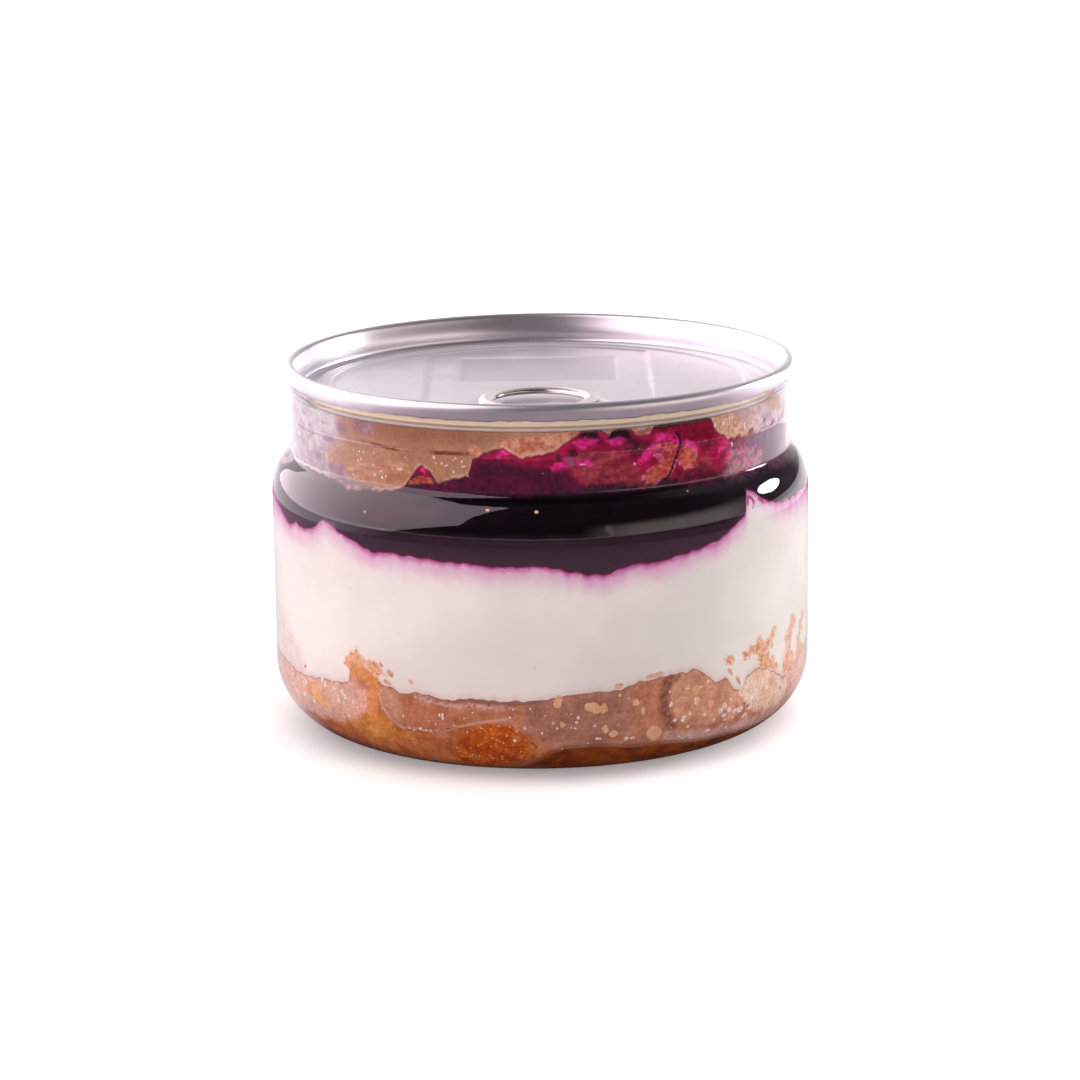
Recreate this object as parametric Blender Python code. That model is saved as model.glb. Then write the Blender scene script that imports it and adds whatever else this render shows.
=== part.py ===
"""Blueberry basbousa in its clear can-jar, under an aluminium lid with a ring pull.

The dessert stands in layers behind the clear wall: syrup-soaked semolina cake, cream,
blueberry jam with whole berries, and cake again up to the lid. Units are metres, +Z is up,
and the origin is the middle of the jar's foot. Bearings are degrees about +Z, with 0 at the
front (-Y) and +90 at the right (+X).
"""
import math

import bmesh
import bpy

MM = 0.001
GAP = 0.3 * MM
SEGMENTS = 52
FOOD_SEGMENTS = 64
WELD = 0.01 * MM

# Jar, turned
JAR_MOUTH_Z = 61.9 * MM
MOUTH_R = 43.05 * MM
MOUTH_INNER_R = 42.6 * MM
MOUTH_LIP = 0.7 * MM
NECK_FLARE = 0.6 * MM
NECK_R = 42.75 * MM
NECK_INNER_R = 41.95 * MM
NECK_TOP_Z = 60.0 * MM
NECK_STEP_Z = 54.4 * MM
NECK_STEP_PROUD = 0.25 * MM
NECK_STEP_HALF = 0.5 * MM
NECK_FOOT_Z = 48.4 * MM
CREASE_R = 43.4 * MM
CREASE_Z = 47.3 * MM
SHOULDER_Z = 40.0 * MM
SHOULDER_CENTRE_R = 41.65 * MM
SHOULDER_RISE = 7.9 * MM
SHOULDER_TURN = 56.0
SHOULDER_INNER_TURN = 78.0
BODY_R = 46.3 * MM
WALL = 0.9 * MM
HEEL_Z = 11.5 * MM
FOOT_R = 34.5 * MM
FOOT_INNER_R = 31.5 * MM
PUSH_UP_R = 29.0 * MM
PUSH_UP_Z = 1.5 * MM
PUSH_UP_TOP_Z = 2.7 * MM

# Lid, turned from sheet and double seamed over the mouth
SHEET = 0.3 * MM
CREST_Z = 63.0 * MM
CREST_R = 42.75 * MM
SEAM_R = 43.65 * MM
SEAM_FOOT_Z = 60.2 * MM
SEAM_FOOT_R = 43.1 * MM
CHUCK_TOP_R = 42.0 * MM
CHUCK_R = 41.35 * MM
PANEL_Z = 58.5 * MM
PANEL_R = 38.6 * MM
PANEL_DROP = 0.2 * MM
GROOVE_Z = 57.95 * MM
GROOVE_FLANK = 0.9 * MM
GROOVE_CORNER = 0.5 * MM
GROOVE_BACK_CORNER = 0.25 * MM
CREST_SHOULDER = 0.35 * MM
CREST_SLOPE = 0.2 * MM
SEAM_SHOULDER = 0.3 * MM
SEAM_SHOULDER_DROP = 0.25 * MM
SEAM_DROP = 1.0 * MM
SEAM_TUCK = 0.1 * MM
HEM = 0.8 * MM
BEAD_R = 35.7 * MM
BEAD_HALF = 0.75 * MM
BEAD_HEIGHT = 0.3 * MM
FLOOR_HALF_WIDTH = 19.3 * MM
FLOOR_R = 34.2 * MM
FLOOR_DEPTH = 0.3 * MM
WELL_R = 11.9 * MM
WELL_DEPTH = 0.25 * MM

# Ring pull, lying on the sunk floor of the lid
RING_Y = -19.6 * MM
RING_R = 10.35 * MM
FINGER_R = 7.5 * MM
NOSE_Y = -27.6 * MM
NOSE_R = 6.2 * MM
TAB_Z = 58.5 * MM
TAB_THICKNESS = 1.3 * MM
TAB_EDGE = 0.4 * MM
RIVET_Y = -28.4 * MM
RIVET_R = 1.5 * MM
RIVET_HEAD_R = 2.5 * MM
RIVET_HEAD_Z = 59.3 * MM
RIVET_TOP_Z = 59.75 * MM
RIVET_HEAD_SLOPE = 0.4 * MM
WEB_R = 3.4 * MM
WEB_THICKNESS = 0.5 * MM

# Food: each edge line is a height at the wall, with lobes (bearing, half width, height in mm)
FOOD_TOP_Z = 57.35 * MM
INNER_EDGE_R = 36.0 * MM
BEYOND_WALL_R = 50.0 * MM
LOW_CAKE_Z = 14.4 * MM
LOW_CAKE_LOBES = (
    (-66, 18, -1.7), (-45, 5, 5.6), (-36, 8, 3.6), (10, 10, 1.2), (28, 16, 3.0), (46, 6, -1.8),
    (62, 10, -3.2), (86, 9, 3.0), (112, 14, 2.4), (140, 9, -1.6), (163, 12, 3.4), (-170, 8, 1.2),
    (-146, 14, 2.8), (-118, 10, -1.4), (-98, 9, 2.2),
)
CREAM_Z = 37.0 * MM
CREAM_RISE_BEHIND = 2.4 * MM
CREAM_LOBES = (
    (-80, 12, 2.2), (-51, 8, 3.0), (12, 10, -2.2), (26, 10, -1.0), (50, 6, 5.4), (60, 12, 4.0),
    (76, 16, 2.6), (104, 9, -1.4), (128, 12, 2.2), (155, 10, -1.8), (178, 8, 1.4), (-158, 12, -1.6),
    (-130, 10, 1.8), (-106, 8, -1.2),
)
JAM_Z = 47.6 * MM
JAM_LOBES = (
    (-27, 4, 4.0), (-8, 14, 7.0), (2, 12, 4.0), (16, 20, 11.0), (38, 20, 11.0), (60, 16, 4.4),
    (76, 18, 5.0), (106, 12, 3.0), (131, 17, 6.4), (168, 12, 2.6), (-150, 10, 3.8), (-104, 17, 6.0),
)
JAM_INSIDE_Z = 48.4 * MM
HIGH_CAKE_INSET = 1.0 * MM
HIGH_CAKE_NOTCHES = (
    (-76, 22, -2.4), (50, 10, -1.6), (84, 20, -1.2), (118, 9, -2.2), (150, 10, -1.4),
    (-168, 12, -2.0), (-130, 14, -1.8),
)
BERRY_R = 4.0 * MM
BERRY_SQUASH = 0.92
BERRY_BEARINGS = (9, 22, 38, 66, 131, -104)
BERRY_RADIAL = 37.2 * MM
BERRY_Z = 53.6 * MM


def clear_scene():
    """Remove whatever the file holds."""
    for thing in list(bpy.data.objects):
        bpy.data.objects.remove(thing, do_unlink=True)


def material(name, colour, roughness, metallic=0.0, transmission=0.0):
    """A Principled material for one sub-part."""
    made = bpy.data.materials.new(name)
    made.use_nodes = True
    shader = made.node_tree.nodes["Principled BSDF"]
    shader.inputs["Base Color"].default_value = (*colour, 1.0)
    shader.inputs["Roughness"].default_value = roughness
    shader.inputs["Metallic"].default_value = metallic
    shader.inputs["Transmission Weight"].default_value = transmission
    return made


def new_object(name, mesh, finish=None):
    """Link a mesh as an object, with its material."""
    thing = bpy.data.objects.new(name, mesh)
    bpy.context.collection.objects.link(thing)
    if finish:
        mesh.materials.append(finish)
    return thing


def as_guide(thing):
    """Mark an object that only shapes another one."""
    thing.hide_render = True
    thing.display_type = "WIRE"
    return thing


def combine(thing, operation, other, solver="EXACT"):
    """Boolean one object with another."""
    change = thing.modifiers.new(f"{operation.lower()} {other.name}", "BOOLEAN")
    change.operation = operation
    change.solver = solver
    change.object = other


def arc(centre, radii, start, end, steps):
    """Points of an elliptic arc in the (r, z) plane; angles in degrees from +r."""
    turns = [math.radians(start + (end - start) * i / steps) for i in range(steps + 1)]
    return [(centre[0] + radii[0] * math.cos(t), centre[1] + radii[1] * math.sin(t)) for t in turns]


def turned(name, profile, finish, segments=SEGMENTS):
    """A solid turned about Z; the profile of (r, z) points runs down its outer side."""
    mesh = bpy.data.meshes.new(name)
    corners = [(r, 0.0, z) for r, z in profile]
    mesh.from_pydata(corners, [(i, i + 1) for i in range(len(corners) - 1)], [])
    thing = new_object(name, mesh, finish)
    screw = thing.modifiers.new("turn", "SCREW")
    screw.steps = segments
    screw.render_steps = segments
    screw.use_merge_vertices = True
    screw.merge_threshold = WELD
    screw.use_smooth_shade = True
    return thing


def prism(name, outline, low, high, finish=None):
    """An upright prism over a flat outline of (x, y) points."""
    mesh = bpy.data.meshes.new(name)
    work = bmesh.new()
    face = work.faces.new([work.verts.new((x, y, low)) for x, y in outline])
    grown = bmesh.ops.extrude_face_region(work, geom=[face])
    risen = [part for part in grown["geom"] if isinstance(part, bmesh.types.BMVert)]
    bmesh.ops.translate(work, verts=risen, vec=(0.0, 0.0, high - low))
    bmesh.ops.recalc_face_normals(work, faces=work.faces)
    work.to_mesh(mesh)
    work.free()
    return new_object(name, mesh, finish)


def circle(centre_y, radius, steps):
    """Points of a circle centred on the ring pull's middle line."""
    turns = [2.0 * math.pi * i / steps for i in range(steps)]
    return [(radius * math.cos(t), centre_y + radius * math.sin(t)) for t in turns]


def jar_outside():
    """The jar's outer profile, mouth to foot."""
    shoulder = (SHOULDER_CENTRE_R, SHOULDER_Z)
    shoulder_radii = (BODY_R - SHOULDER_CENTRE_R, SHOULDER_RISE)
    heel = (FOOT_R, HEEL_Z)
    return [
        (MOUTH_INNER_R, JAR_MOUTH_Z), (MOUTH_R, JAR_MOUTH_Z), (MOUTH_R, JAR_MOUTH_Z - MOUTH_LIP),
        (NECK_R, NECK_TOP_Z + NECK_FLARE), (NECK_R, NECK_STEP_Z + NECK_STEP_HALF),
        (NECK_R + NECK_STEP_PROUD, NECK_STEP_Z), (NECK_R, NECK_STEP_Z - NECK_STEP_HALF),
        (NECK_R, NECK_FOOT_Z), (CREASE_R, CREASE_Z),
        *arc(shoulder, shoulder_radii, SHOULDER_TURN, 0, 4),
        *arc(heel, (BODY_R - FOOT_R, HEEL_Z), 0, -90, 4),
        (FOOT_INNER_R, 0.0), (PUSH_UP_R, PUSH_UP_Z), (0.0, PUSH_UP_TOP_Z),
    ]


def jar_inside(offset):
    """The jar's inner profile from the neck down to the axis, set in by an offset."""
    shoulder_radii = (BODY_R - WALL - SHOULDER_CENTRE_R - offset, SHOULDER_RISE - WALL - offset)
    heel_radii = (BODY_R - WALL - FOOT_R - offset, HEEL_Z - WALL - offset)
    floor = WALL + offset
    return [
        (NECK_INNER_R - offset, CREASE_Z + NECK_FLARE),
        *arc((SHOULDER_CENTRE_R, SHOULDER_Z), shoulder_radii, SHOULDER_INNER_TURN, 0, 3),
        *arc((FOOT_R, HEEL_Z), heel_radii, 0, -90, 4),
        (FOOT_INNER_R, floor), (PUSH_UP_R, PUSH_UP_Z + floor), (0.0, PUSH_UP_TOP_Z + floor),
    ]


def build_jar():
    """Clear jar with a pressed-up base, a round shoulder and a stepped neck."""
    inside = [*reversed(jar_inside(0.0)), (NECK_INNER_R, NECK_TOP_Z)]
    finish = material("clear jar", (0.93, 0.93, 0.95), 0.05, transmission=1.0)
    turned("jar", inside + jar_outside(), finish)


def lid_profile():
    """Lid section: panel and chuck wall on top, crest, seam, then back along the underside."""
    under = PANEL_Z - SHEET
    groove_under = GROOVE_Z - SHEET
    top_face = [
        (0.0, PANEL_Z), (BEAD_R - BEAD_HALF, PANEL_Z), (BEAD_R, PANEL_Z + BEAD_HEIGHT),
        (BEAD_R + BEAD_HALF, PANEL_Z), (PANEL_R, PANEL_Z), (PANEL_R + GROOVE_FLANK, GROOVE_Z),
        (CHUCK_R - GROOVE_CORNER, GROOVE_Z), (CHUCK_R, PANEL_Z), (CHUCK_R, NECK_TOP_Z),
        (CHUCK_TOP_R, JAR_MOUTH_Z),
    ]
    crest = [
        (CHUCK_TOP_R + CREST_SLOPE, CREST_Z - CREST_SHOULDER), (CREST_R, CREST_Z),
        (SEAM_R - SEAM_SHOULDER, CREST_Z - SEAM_SHOULDER_DROP), (SEAM_R, CREST_Z - SEAM_DROP),
        (SEAM_R - SEAM_TUCK, SEAM_FOOT_Z), (SEAM_FOOT_R, SEAM_FOOT_Z),
    ]
    channel = [
        (SEAM_R - SHEET, SEAM_FOOT_Z + HEM), (SEAM_R - SHEET, JAR_MOUTH_Z + GAP),
        (CREST_R, CREST_Z - SHEET), (CHUCK_TOP_R + SHEET, JAR_MOUTH_Z),
        (CHUCK_R + SHEET, NECK_TOP_Z), (CHUCK_R + SHEET, PANEL_Z - PANEL_DROP),
        (CHUCK_R - GROOVE_BACK_CORNER, groove_under), (PANEL_R + GROOVE_FLANK - PANEL_DROP, groove_under),
        (PANEL_R - PANEL_DROP, under), (0.0, under),
    ]
    return top_face + crest + channel


def floor_outline(margin):
    """The sunk floor of the panel: a disc cut off by two straight steps."""
    half = FLOOR_HALF_WIDTH + margin
    radius = FLOOR_R + margin
    reach = math.degrees(math.acos(half / radius))
    front = [math.radians(-reach - (180.0 - 2.0 * reach) * i / 16) for i in range(17)]
    back = [turn + math.pi for turn in front]
    return [(radius * math.cos(t), radius * math.sin(t)) for t in front + back]


def tab_outline(steps):
    """The ring pull's outline: a ring circle and a nose circle joined by their tangents."""
    lean = math.asin((RING_R - NOSE_R) / (RING_Y - NOSE_Y))
    nose_steps = steps // 2
    ring_turns = [-lean + (math.pi + 2.0 * lean) * i / steps for i in range(steps + 1)]
    nose_turns = [math.pi + lean + (math.pi - 2.0 * lean) * i / nose_steps for i in range(nose_steps + 1)]
    points = [(RING_R * math.cos(t), RING_Y + RING_R * math.sin(t)) for t in ring_turns]
    return points + [(NOSE_R * math.cos(t), NOSE_Y + NOSE_R * math.sin(t)) for t in nose_turns]


def press_down(lid, name, outline, top, depth):
    """Press an area of the lid's sheet down: add sheet below, then cut the top away."""
    middle = top - SHEET / 2.0
    below = prism(f"{name}_below", outline(SHEET), top - SHEET - depth, middle)
    above = prism(f"{name}_above", outline(0.0), top - depth, top + BEAD_HEIGHT)
    combine(lid, "UNION", as_guide(below))
    combine(lid, "DIFFERENCE", as_guide(above))


def build_lid():
    """Aluminium end: seam, chuck wall, groove, beaded panel, sunk floor, well and rivet."""
    finish = material("lid aluminium", (0.78, 0.75, 0.79), 0.22, metallic=1.0)
    lid = turned("lid", lid_profile(), finish)
    press_down(lid, "floor", floor_outline, PANEL_Z, FLOOR_DEPTH)
    floor_z = PANEL_Z - FLOOR_DEPTH
    press_down(lid, "well", lambda edge: circle(RING_Y, WELL_R + edge, 28), floor_z, WELL_DEPTH)
    root_z = floor_z - WELL_DEPTH - SHEET / 2.0
    rivet_profile = [
        (0.0, RIVET_TOP_Z), (RIVET_HEAD_R - RIVET_HEAD_SLOPE, RIVET_TOP_Z),
        (RIVET_HEAD_R, RIVET_HEAD_Z), (RIVET_R, RIVET_HEAD_Z), (RIVET_R, root_z), (0.0, root_z),
    ]
    rivet = as_guide(turned("rivet", rivet_profile, None, 16))
    rivet.location.y = RIVET_Y
    combine(lid, "UNION", rivet)


def build_ring_tab():
    """Ring pull: a plate with rounded rims, a finger hole and a thin web round the rivet."""
    finish = material("ring pull", (0.82, 0.81, 0.83), 0.12, metallic=1.0)
    top = TAB_Z + TAB_THICKNESS
    tab = prism("ring_tab", tab_outline(20), TAB_Z, top, finish)
    rim = tab.modifiers.new("rolled rim", "BEVEL")
    rim.width = TAB_EDGE
    rim.segments = 2
    rim.limit_method = "ANGLE"
    rim.angle_limit = math.radians(60)
    past = TAB_THICKNESS
    flare = FINGER_R + TAB_EDGE + past
    hole_profile = [
        (0.0, top + past), (flare, top + past), (FINGER_R, top - TAB_EDGE),
        (FINGER_R, TAB_Z + TAB_EDGE), (flare, TAB_Z - past), (0.0, TAB_Z - past),
    ]
    hole = turned("finger_hole", hole_profile, None, 28)
    hole.location.y = RING_Y
    shaft = prism("rivet_hole", circle(RIVET_Y, RIVET_R + GAP, 12), TAB_Z - past, top + past)
    web = prism("web_recess", circle(RIVET_Y, WEB_R, 16), TAB_Z + WEB_THICKNESS, top + past)
    for cutter in (hole, shaft, web):
        combine(tab, "DIFFERENCE", as_guide(cutter))


def lobe(bearing, centre, half_width, height):
    """One rounded rise of an edge line, zero beyond its half width."""
    away = abs((bearing - centre + 180.0) % 360.0 - 180.0)
    if away >= half_width:
        return 0.0
    return height * MM * 0.5 * (1.0 + math.cos(math.pi * away / half_width))


def low_cake_edge(bearing):
    """Height at the wall of the lower cake's crumb."""
    return LOW_CAKE_Z + sum(lobe(bearing, *row) for row in LOW_CAKE_LOBES)


def cream_edge(bearing):
    """Height at the wall of the cream, lowest at the front."""
    rise = CREAM_RISE_BEHIND * (1.0 - math.cos(math.radians(bearing)))
    return CREAM_Z + rise + sum(lobe(bearing, *row) for row in CREAM_LOBES)


def jam_edge(bearing):
    """Height at the wall of the jam, which reaches the lid at the front right."""
    return JAM_Z + sum(lobe(bearing, *row) for row in JAM_LOBES)


def flat_edge(height):
    """A level edge line."""
    return lambda bearing: height


def slab(name, under, over, inside_under, inside_over, outline, finish):
    """A layer between two uneven surfaces, out to an outline; the fill then trims it."""
    mesh = bpy.data.meshes.new(name)
    work = bmesh.new()
    bearings = [360.0 * i / FOOD_SEGMENTS for i in range(FOOD_SEGMENTS)]

    def ring(radius_at, height_at):
        corners = []
        for bearing in bearings:
            turn = math.radians(bearing)
            radius = radius_at(bearing)
            spot = (radius * math.sin(turn), -radius * math.cos(turn), height_at(bearing))
            corners.append(work.verts.new(spot))
        return corners

    def band(first, second):
        for i in range(FOOD_SEGMENTS):
            j = (i + 1) % FOOD_SEGMENTS
            work.faces.new((first[i], first[j], second[i]))
            work.faces.new((first[j], second[j], second[i]))

    def fan(corners, height):
        middle = work.verts.new((0.0, 0.0, height))
        for i in range(FOOD_SEGMENTS):
            work.faces.new((corners[i], corners[(i + 1) % FOOD_SEGMENTS], middle))

    inner = flat_edge(INNER_EDGE_R)
    low_inner = ring(inner, under)
    low_outer = ring(outline, under)
    high_outer = ring(outline, over)
    high_inner = ring(inner, over)
    band(low_inner, low_outer)
    band(low_outer, high_outer)
    band(high_inner, high_outer)
    fan(low_inner, inside_under)
    fan(high_inner, inside_over)
    bmesh.ops.recalc_face_normals(work, faces=work.faces)
    work.to_mesh(mesh)
    work.free()
    return new_object(name, mesh, finish)


def high_cake_outline(bearing):
    """Edge of the upper cake: against the neck, with crags where it falls short."""
    notches = sum(lobe(bearing, *row) for row in HIGH_CAKE_NOTCHES)
    return NECK_INNER_R + HIGH_CAKE_INSET + notches


def build_food():
    """Four layers cut from the jar's inner space, and berries sunk in their edge."""
    reach = [(0.0, FOOD_TOP_Z), (NECK_INNER_R - GAP, FOOD_TOP_Z), *jar_inside(GAP)]
    fill = as_guide(turned("jar_space", reach, None, FOOD_SEGMENTS))
    cake = material("syrup cake", (0.50, 0.27, 0.13), 0.45)
    cream = material("cream", (0.90, 0.83, 0.78), 0.4)
    jam = material("blueberry jam", (0.05, 0.01, 0.04), 0.12)
    skin = material("berry skin", (0.03, 0.01, 0.05), 0.25)
    beyond = flat_edge(BEYOND_WALL_R)

    def above(edge):
        return lambda bearing: edge(bearing) + GAP

    layers = [
        slab("basbousa_base", flat_edge(-MM), low_cake_edge, -MM, LOW_CAKE_Z, beyond, cake),
        slab("cream", above(low_cake_edge), cream_edge, LOW_CAKE_Z + GAP, CREAM_Z, beyond, cream),
        slab("blueberry_jam", above(cream_edge), jam_edge, CREAM_Z + GAP, JAM_INSIDE_Z, beyond, jam),
        slab(
            "basbousa_top", above(jam_edge), flat_edge(JAR_MOUTH_Z), JAM_INSIDE_Z + GAP, JAR_MOUTH_Z,
            high_cake_outline, cake,
        ),
    ]
    for layer in layers:
        combine(layer, "INTERSECT", fill, "MANIFOLD")
    for number, bearing in enumerate(BERRY_BEARINGS, start=1):
        turn = math.radians(bearing)
        place = (BERRY_RADIAL * math.sin(turn), -BERRY_RADIAL * math.cos(turn), BERRY_Z)
        berry(f"blueberry_{number}", BERRY_R, place, skin)
        pocket = as_guide(berry(f"berry_pocket_{number}", BERRY_R + GAP, place, None))
        for layer in layers[2:]:
            combine(layer, "DIFFERENCE", pocket, "MANIFOLD")


def berry(name, radius, place, finish):
    """A slightly flattened berry."""
    mesh = bpy.data.meshes.new(name)
    work = bmesh.new()
    bmesh.ops.create_uvsphere(work, u_segments=10, v_segments=7, radius=radius)
    bmesh.ops.scale(work, vec=(1.0, 1.0, BERRY_SQUASH), verts=work.verts)
    work.to_mesh(mesh)
    work.free()
    mesh.shade_smooth()
    thing = new_object(name, mesh, finish)
    thing.location = place
    return thing


def main():
    """Build the jar, its lid and ring pull, and the dessert inside."""
    clear_scene()
    build_jar()
    build_lid()
    build_ring_tab()
    build_food()


main()
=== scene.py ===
"""Blueberry basbousa in a clear can-jar: the looks, built round its packed frame.

Syrup-soaked semolina cake, cream, blueberry jam and cake again stand behind a clear wall,
under an aluminium end with a ring pull. Sizes here are millimetres unless a name says
otherwise; meshes are made in metres. Bearings are degrees about +Z, with 0 at the front (-Y)
and +90 at the right (+X).
"""

import math

import bpy
import numpy as np
from bpy.props import FloatProperty, FloatVectorProperty, PointerProperty
from mathutils import Matrix, Vector


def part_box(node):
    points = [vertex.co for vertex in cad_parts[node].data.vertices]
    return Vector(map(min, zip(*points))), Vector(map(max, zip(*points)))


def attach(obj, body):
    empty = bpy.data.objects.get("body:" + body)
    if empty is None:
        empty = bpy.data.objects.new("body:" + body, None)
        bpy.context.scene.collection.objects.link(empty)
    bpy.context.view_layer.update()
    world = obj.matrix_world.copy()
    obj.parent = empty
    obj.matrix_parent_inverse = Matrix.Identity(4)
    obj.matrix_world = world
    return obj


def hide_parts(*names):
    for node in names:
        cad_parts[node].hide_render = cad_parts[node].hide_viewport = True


bl_info = {
    "name": "Blueberry Basbousa Jar",
    "version": (1, 0, 0),
    "blender": (4, 5, 0),
    "location": "3D View > Sidebar > Basbousa",
    "description": "Builds a layered blueberry basbousa in a clear jar with a ring-pull lid",
    "category": "Add Mesh",
}

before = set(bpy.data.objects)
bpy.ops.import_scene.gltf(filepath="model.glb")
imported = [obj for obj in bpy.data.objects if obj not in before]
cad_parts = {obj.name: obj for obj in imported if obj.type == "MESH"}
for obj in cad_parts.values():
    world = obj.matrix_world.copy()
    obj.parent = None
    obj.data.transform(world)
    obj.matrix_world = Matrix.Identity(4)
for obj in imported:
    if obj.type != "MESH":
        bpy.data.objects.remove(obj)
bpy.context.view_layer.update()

MM = 0.001

# Jar, the same sizes as its solid
JAR_MOUTH_Z = 61.9
MOUTH_R = 43.05
MOUTH_INNER_R = 42.6
NECK_R = 42.75
NECK_INNER_R = 41.95
NECK_TOP_Z = 60.0
NECK_STEP_Z = 54.4
NECK_FOOT_Z = 48.4
CREASE_R = 43.4
CREASE_Z = 47.3
SHOULDER_R = 41.65
SHOULDER_Z = 40.0
SHOULDER_RISE = 7.9
BODY_R = 46.3
WALL = 0.9
HEEL_Z = 11.5
FOOT_R = 34.5
FOOT_INNER_R = 31.5
PUSH_UP_R = 29.0
PUSH_UP_Z = 1.5
PUSH_UP_TOP_Z = 2.7

# Lid and ring pull, the same sizes as their solids
CREST_Z = 63.0
CREST_R = 42.75
SEAM_R = 43.65
SEAM_FOOT_Z = 60.2
SEAM_FOOT_R = 43.1
CHUCK_R = 41.35
CHUCK_TOP_R = 42.0
SHEET = 0.3
PANEL_Z = 58.5
PANEL_R = 38.6
GROOVE_Z = 57.95
BEAD_R = 35.7
FLOOR_HALF = 19.3
FLOOR_R = 34.2
FLOOR_DEPTH = 0.3
WELL_R = 11.9
WELL_DEPTH = 0.25
RING_Y = -19.6
RING_R = 10.35
FINGER_R = 7.5
NOSE_Y = -27.6
NOSE_R = 6.2
TAB_Z = 58.5
TAB_THICKNESS = 1.3
RIVET_Y = -28.4
RIVET_HEAD_R = 2.5
RIVET_TOP_Z = 59.75
RIVET_FOOT_Z = 58.1
WEB_R = 3.4
PLATE_HALF = 13.6
PLATE_Y = 13.6
PLATE_DEEP = 10.9
PLATE_SUNK = 0.12
FOLD_STEP = 0.3
WELL_STEP = 0.35

# Food
COLUMNS = 720
BEARINGS = np.arange(COLUMNS) * (360.0 / COLUMNS) - 180.0
REACH = 0.25
FOOD_TOP_Z = 57.4
FILM_TOP_Z = 58.25
LINE_GAP = 0.02
LOW_CAKE_Z = 14.4
CREAM_Z = 37.0
JAM_Z = 48.4
MIDDLE_GAP = 0.05
BERRY_FIT = 0.985

# Degrees over which a measured edge eases into the guessed one
EASE_IN = 6.0

# Painted regions: how far from their edge is told, in mm; then, in degrees, how far the photo
# shows them to each side, and the middle and narrowing of their mirrored copies beyond that
FARTHEST = 3.0
FRONT_REACH = 54.0
SIDE_MIDDLE = 126.0
SIDE_SQUEEZE = 0.86

# Camera: metres and degrees
CAMERA_PLACE = (-0.00018, -0.63876, 0.18123)
CAMERA_DOWN = 13.278
CAMERA_ROLL = -0.742


# ------------------------------------------------------------------ mesh tools


def circle_points(bearing, radius):
    """x and y on a circle at bearings in degrees."""
    turn = np.radians(bearing)
    return radius * np.sin(turn), -radius * np.cos(turn)


def ring(bearing, radius, height):
    """One row of points round the axis."""
    x, y = circle_points(bearing, radius)
    return np.stack(np.broadcast_arrays(x, y, height), 1)


def arc(centre, radii, start, end, steps):
    """Points of an elliptic arc in the (r, z) plane; angles in degrees from +r."""
    turns = np.radians(np.linspace(start, end, steps + 1))
    return list(zip(centre[0] + radii[0] * np.cos(turns), centre[1] + radii[1] * np.sin(turns)))


def rounded(points, passes=2, keep=0.25):
    """A section line with its inner corners cut smooth; its ends stay."""
    for _ in range(passes):
        made = [points[0]]
        for a, b in zip(points[:-1], points[1:]):
            made.append(tuple(p + keep * (q - p) for p, q in zip(a, b)))
            made.append(tuple(q + keep * (p - q) for p, q in zip(a, b)))
        made.append(points[-1])
        points = made
    return points


def step(value, low, high):
    """Smooth 0 to 1 step."""
    t = np.clip((value - low) / (high - low), 0.0, 1.0)
    return t * t * (3.0 - 2.0 * t)


def ripple(seed, low, high, count=14):
    """A periodic ripple along the bearings, about -1 to 1."""
    chance = np.random.default_rng(seed)
    turns = np.radians(BEARINGS)
    waves = zip(chance.integers(low, high, count), chance.uniform(0, 2 * math.pi, count))
    total = sum(np.sin(n * turns + phase) for n, phase in waves)
    return total / math.sqrt(count)


def lobes(rows, bearing=BEARINGS):
    """Rounded rises along a line of bearings: (bearing, half width, height) each."""
    line = np.zeros_like(bearing)
    for centre, half, height in rows:
        away = np.abs((bearing - centre + 180.0) % 360.0 - 180.0)
        line += np.where(away < half, height * 0.5 * (1.0 + np.cos(np.pi * away / half)), 0.0)
    return line


def edge_distance(corners, x, y, closed):
    """Distance to a line of corners, and whether a place is inside it."""
    nearest = np.full(x.shape, 1e9)
    inside = np.zeros(x.shape, bool)
    ends = corners[1:] + corners[:1] if closed else corners[1:]
    for (ax, ay), (bx, by) in zip(corners, ends):
        run, rise = bx - ax, by - ay
        along = np.clip(((x - ax) * run + (y - ay) * rise) / max(run**2 + rise**2, 1e-9), 0.0, 1.0)
        nearest = np.minimum(nearest, np.hypot(x - ax - along * run, y - ay - along * rise))
        inside ^= ((ay > y) != (by > y)) & (x < run * (y - ay) / (rise + 1e-12) + ax)
    return nearest, inside


def regions(outlines, bearing, z, half=0.0):
    """How far inside the nearest outline each place on the wall is, in millimetres.

    An outline is a ring of (bearing, z) corners; with a half width it is a brush stroke.
    """
    field = np.full(np.broadcast(bearing, z).shape, -FARTHEST)
    for outline in outlines:
        middle = sum(corner[0] for corner in outline) / len(outline)
        across = BODY_R * np.radians((bearing - middle + 180.0) % 360.0 - 180.0)
        x, y = np.broadcast_arrays(across, z)
        corners = [(BODY_R * math.radians(b - middle), height) for b, height in outline]
        nearest, inside = edge_distance(corners, x, y, half == 0.0)
        depth = half - nearest if half else np.where(inside, nearest, -nearest)
        field = np.maximum(field, depth)
    return np.minimum(field, FARTHEST)


def all_round(outlines):
    """Front outlines, and the same again mirrored over each side and the back."""
    copies = list(outlines)
    for outline in outlines:
        kept = [(max(-FRONT_REACH, min(FRONT_REACH, b)), height) for b, height in outline]
        if len({b for b, height in kept}) > 1:
            for middle in (SIDE_MIDDLE, -SIDE_MIDDLE):
                copies.append([(middle - SIDE_SQUEEZE * b, height) for b, height in kept])
    return copies


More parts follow.
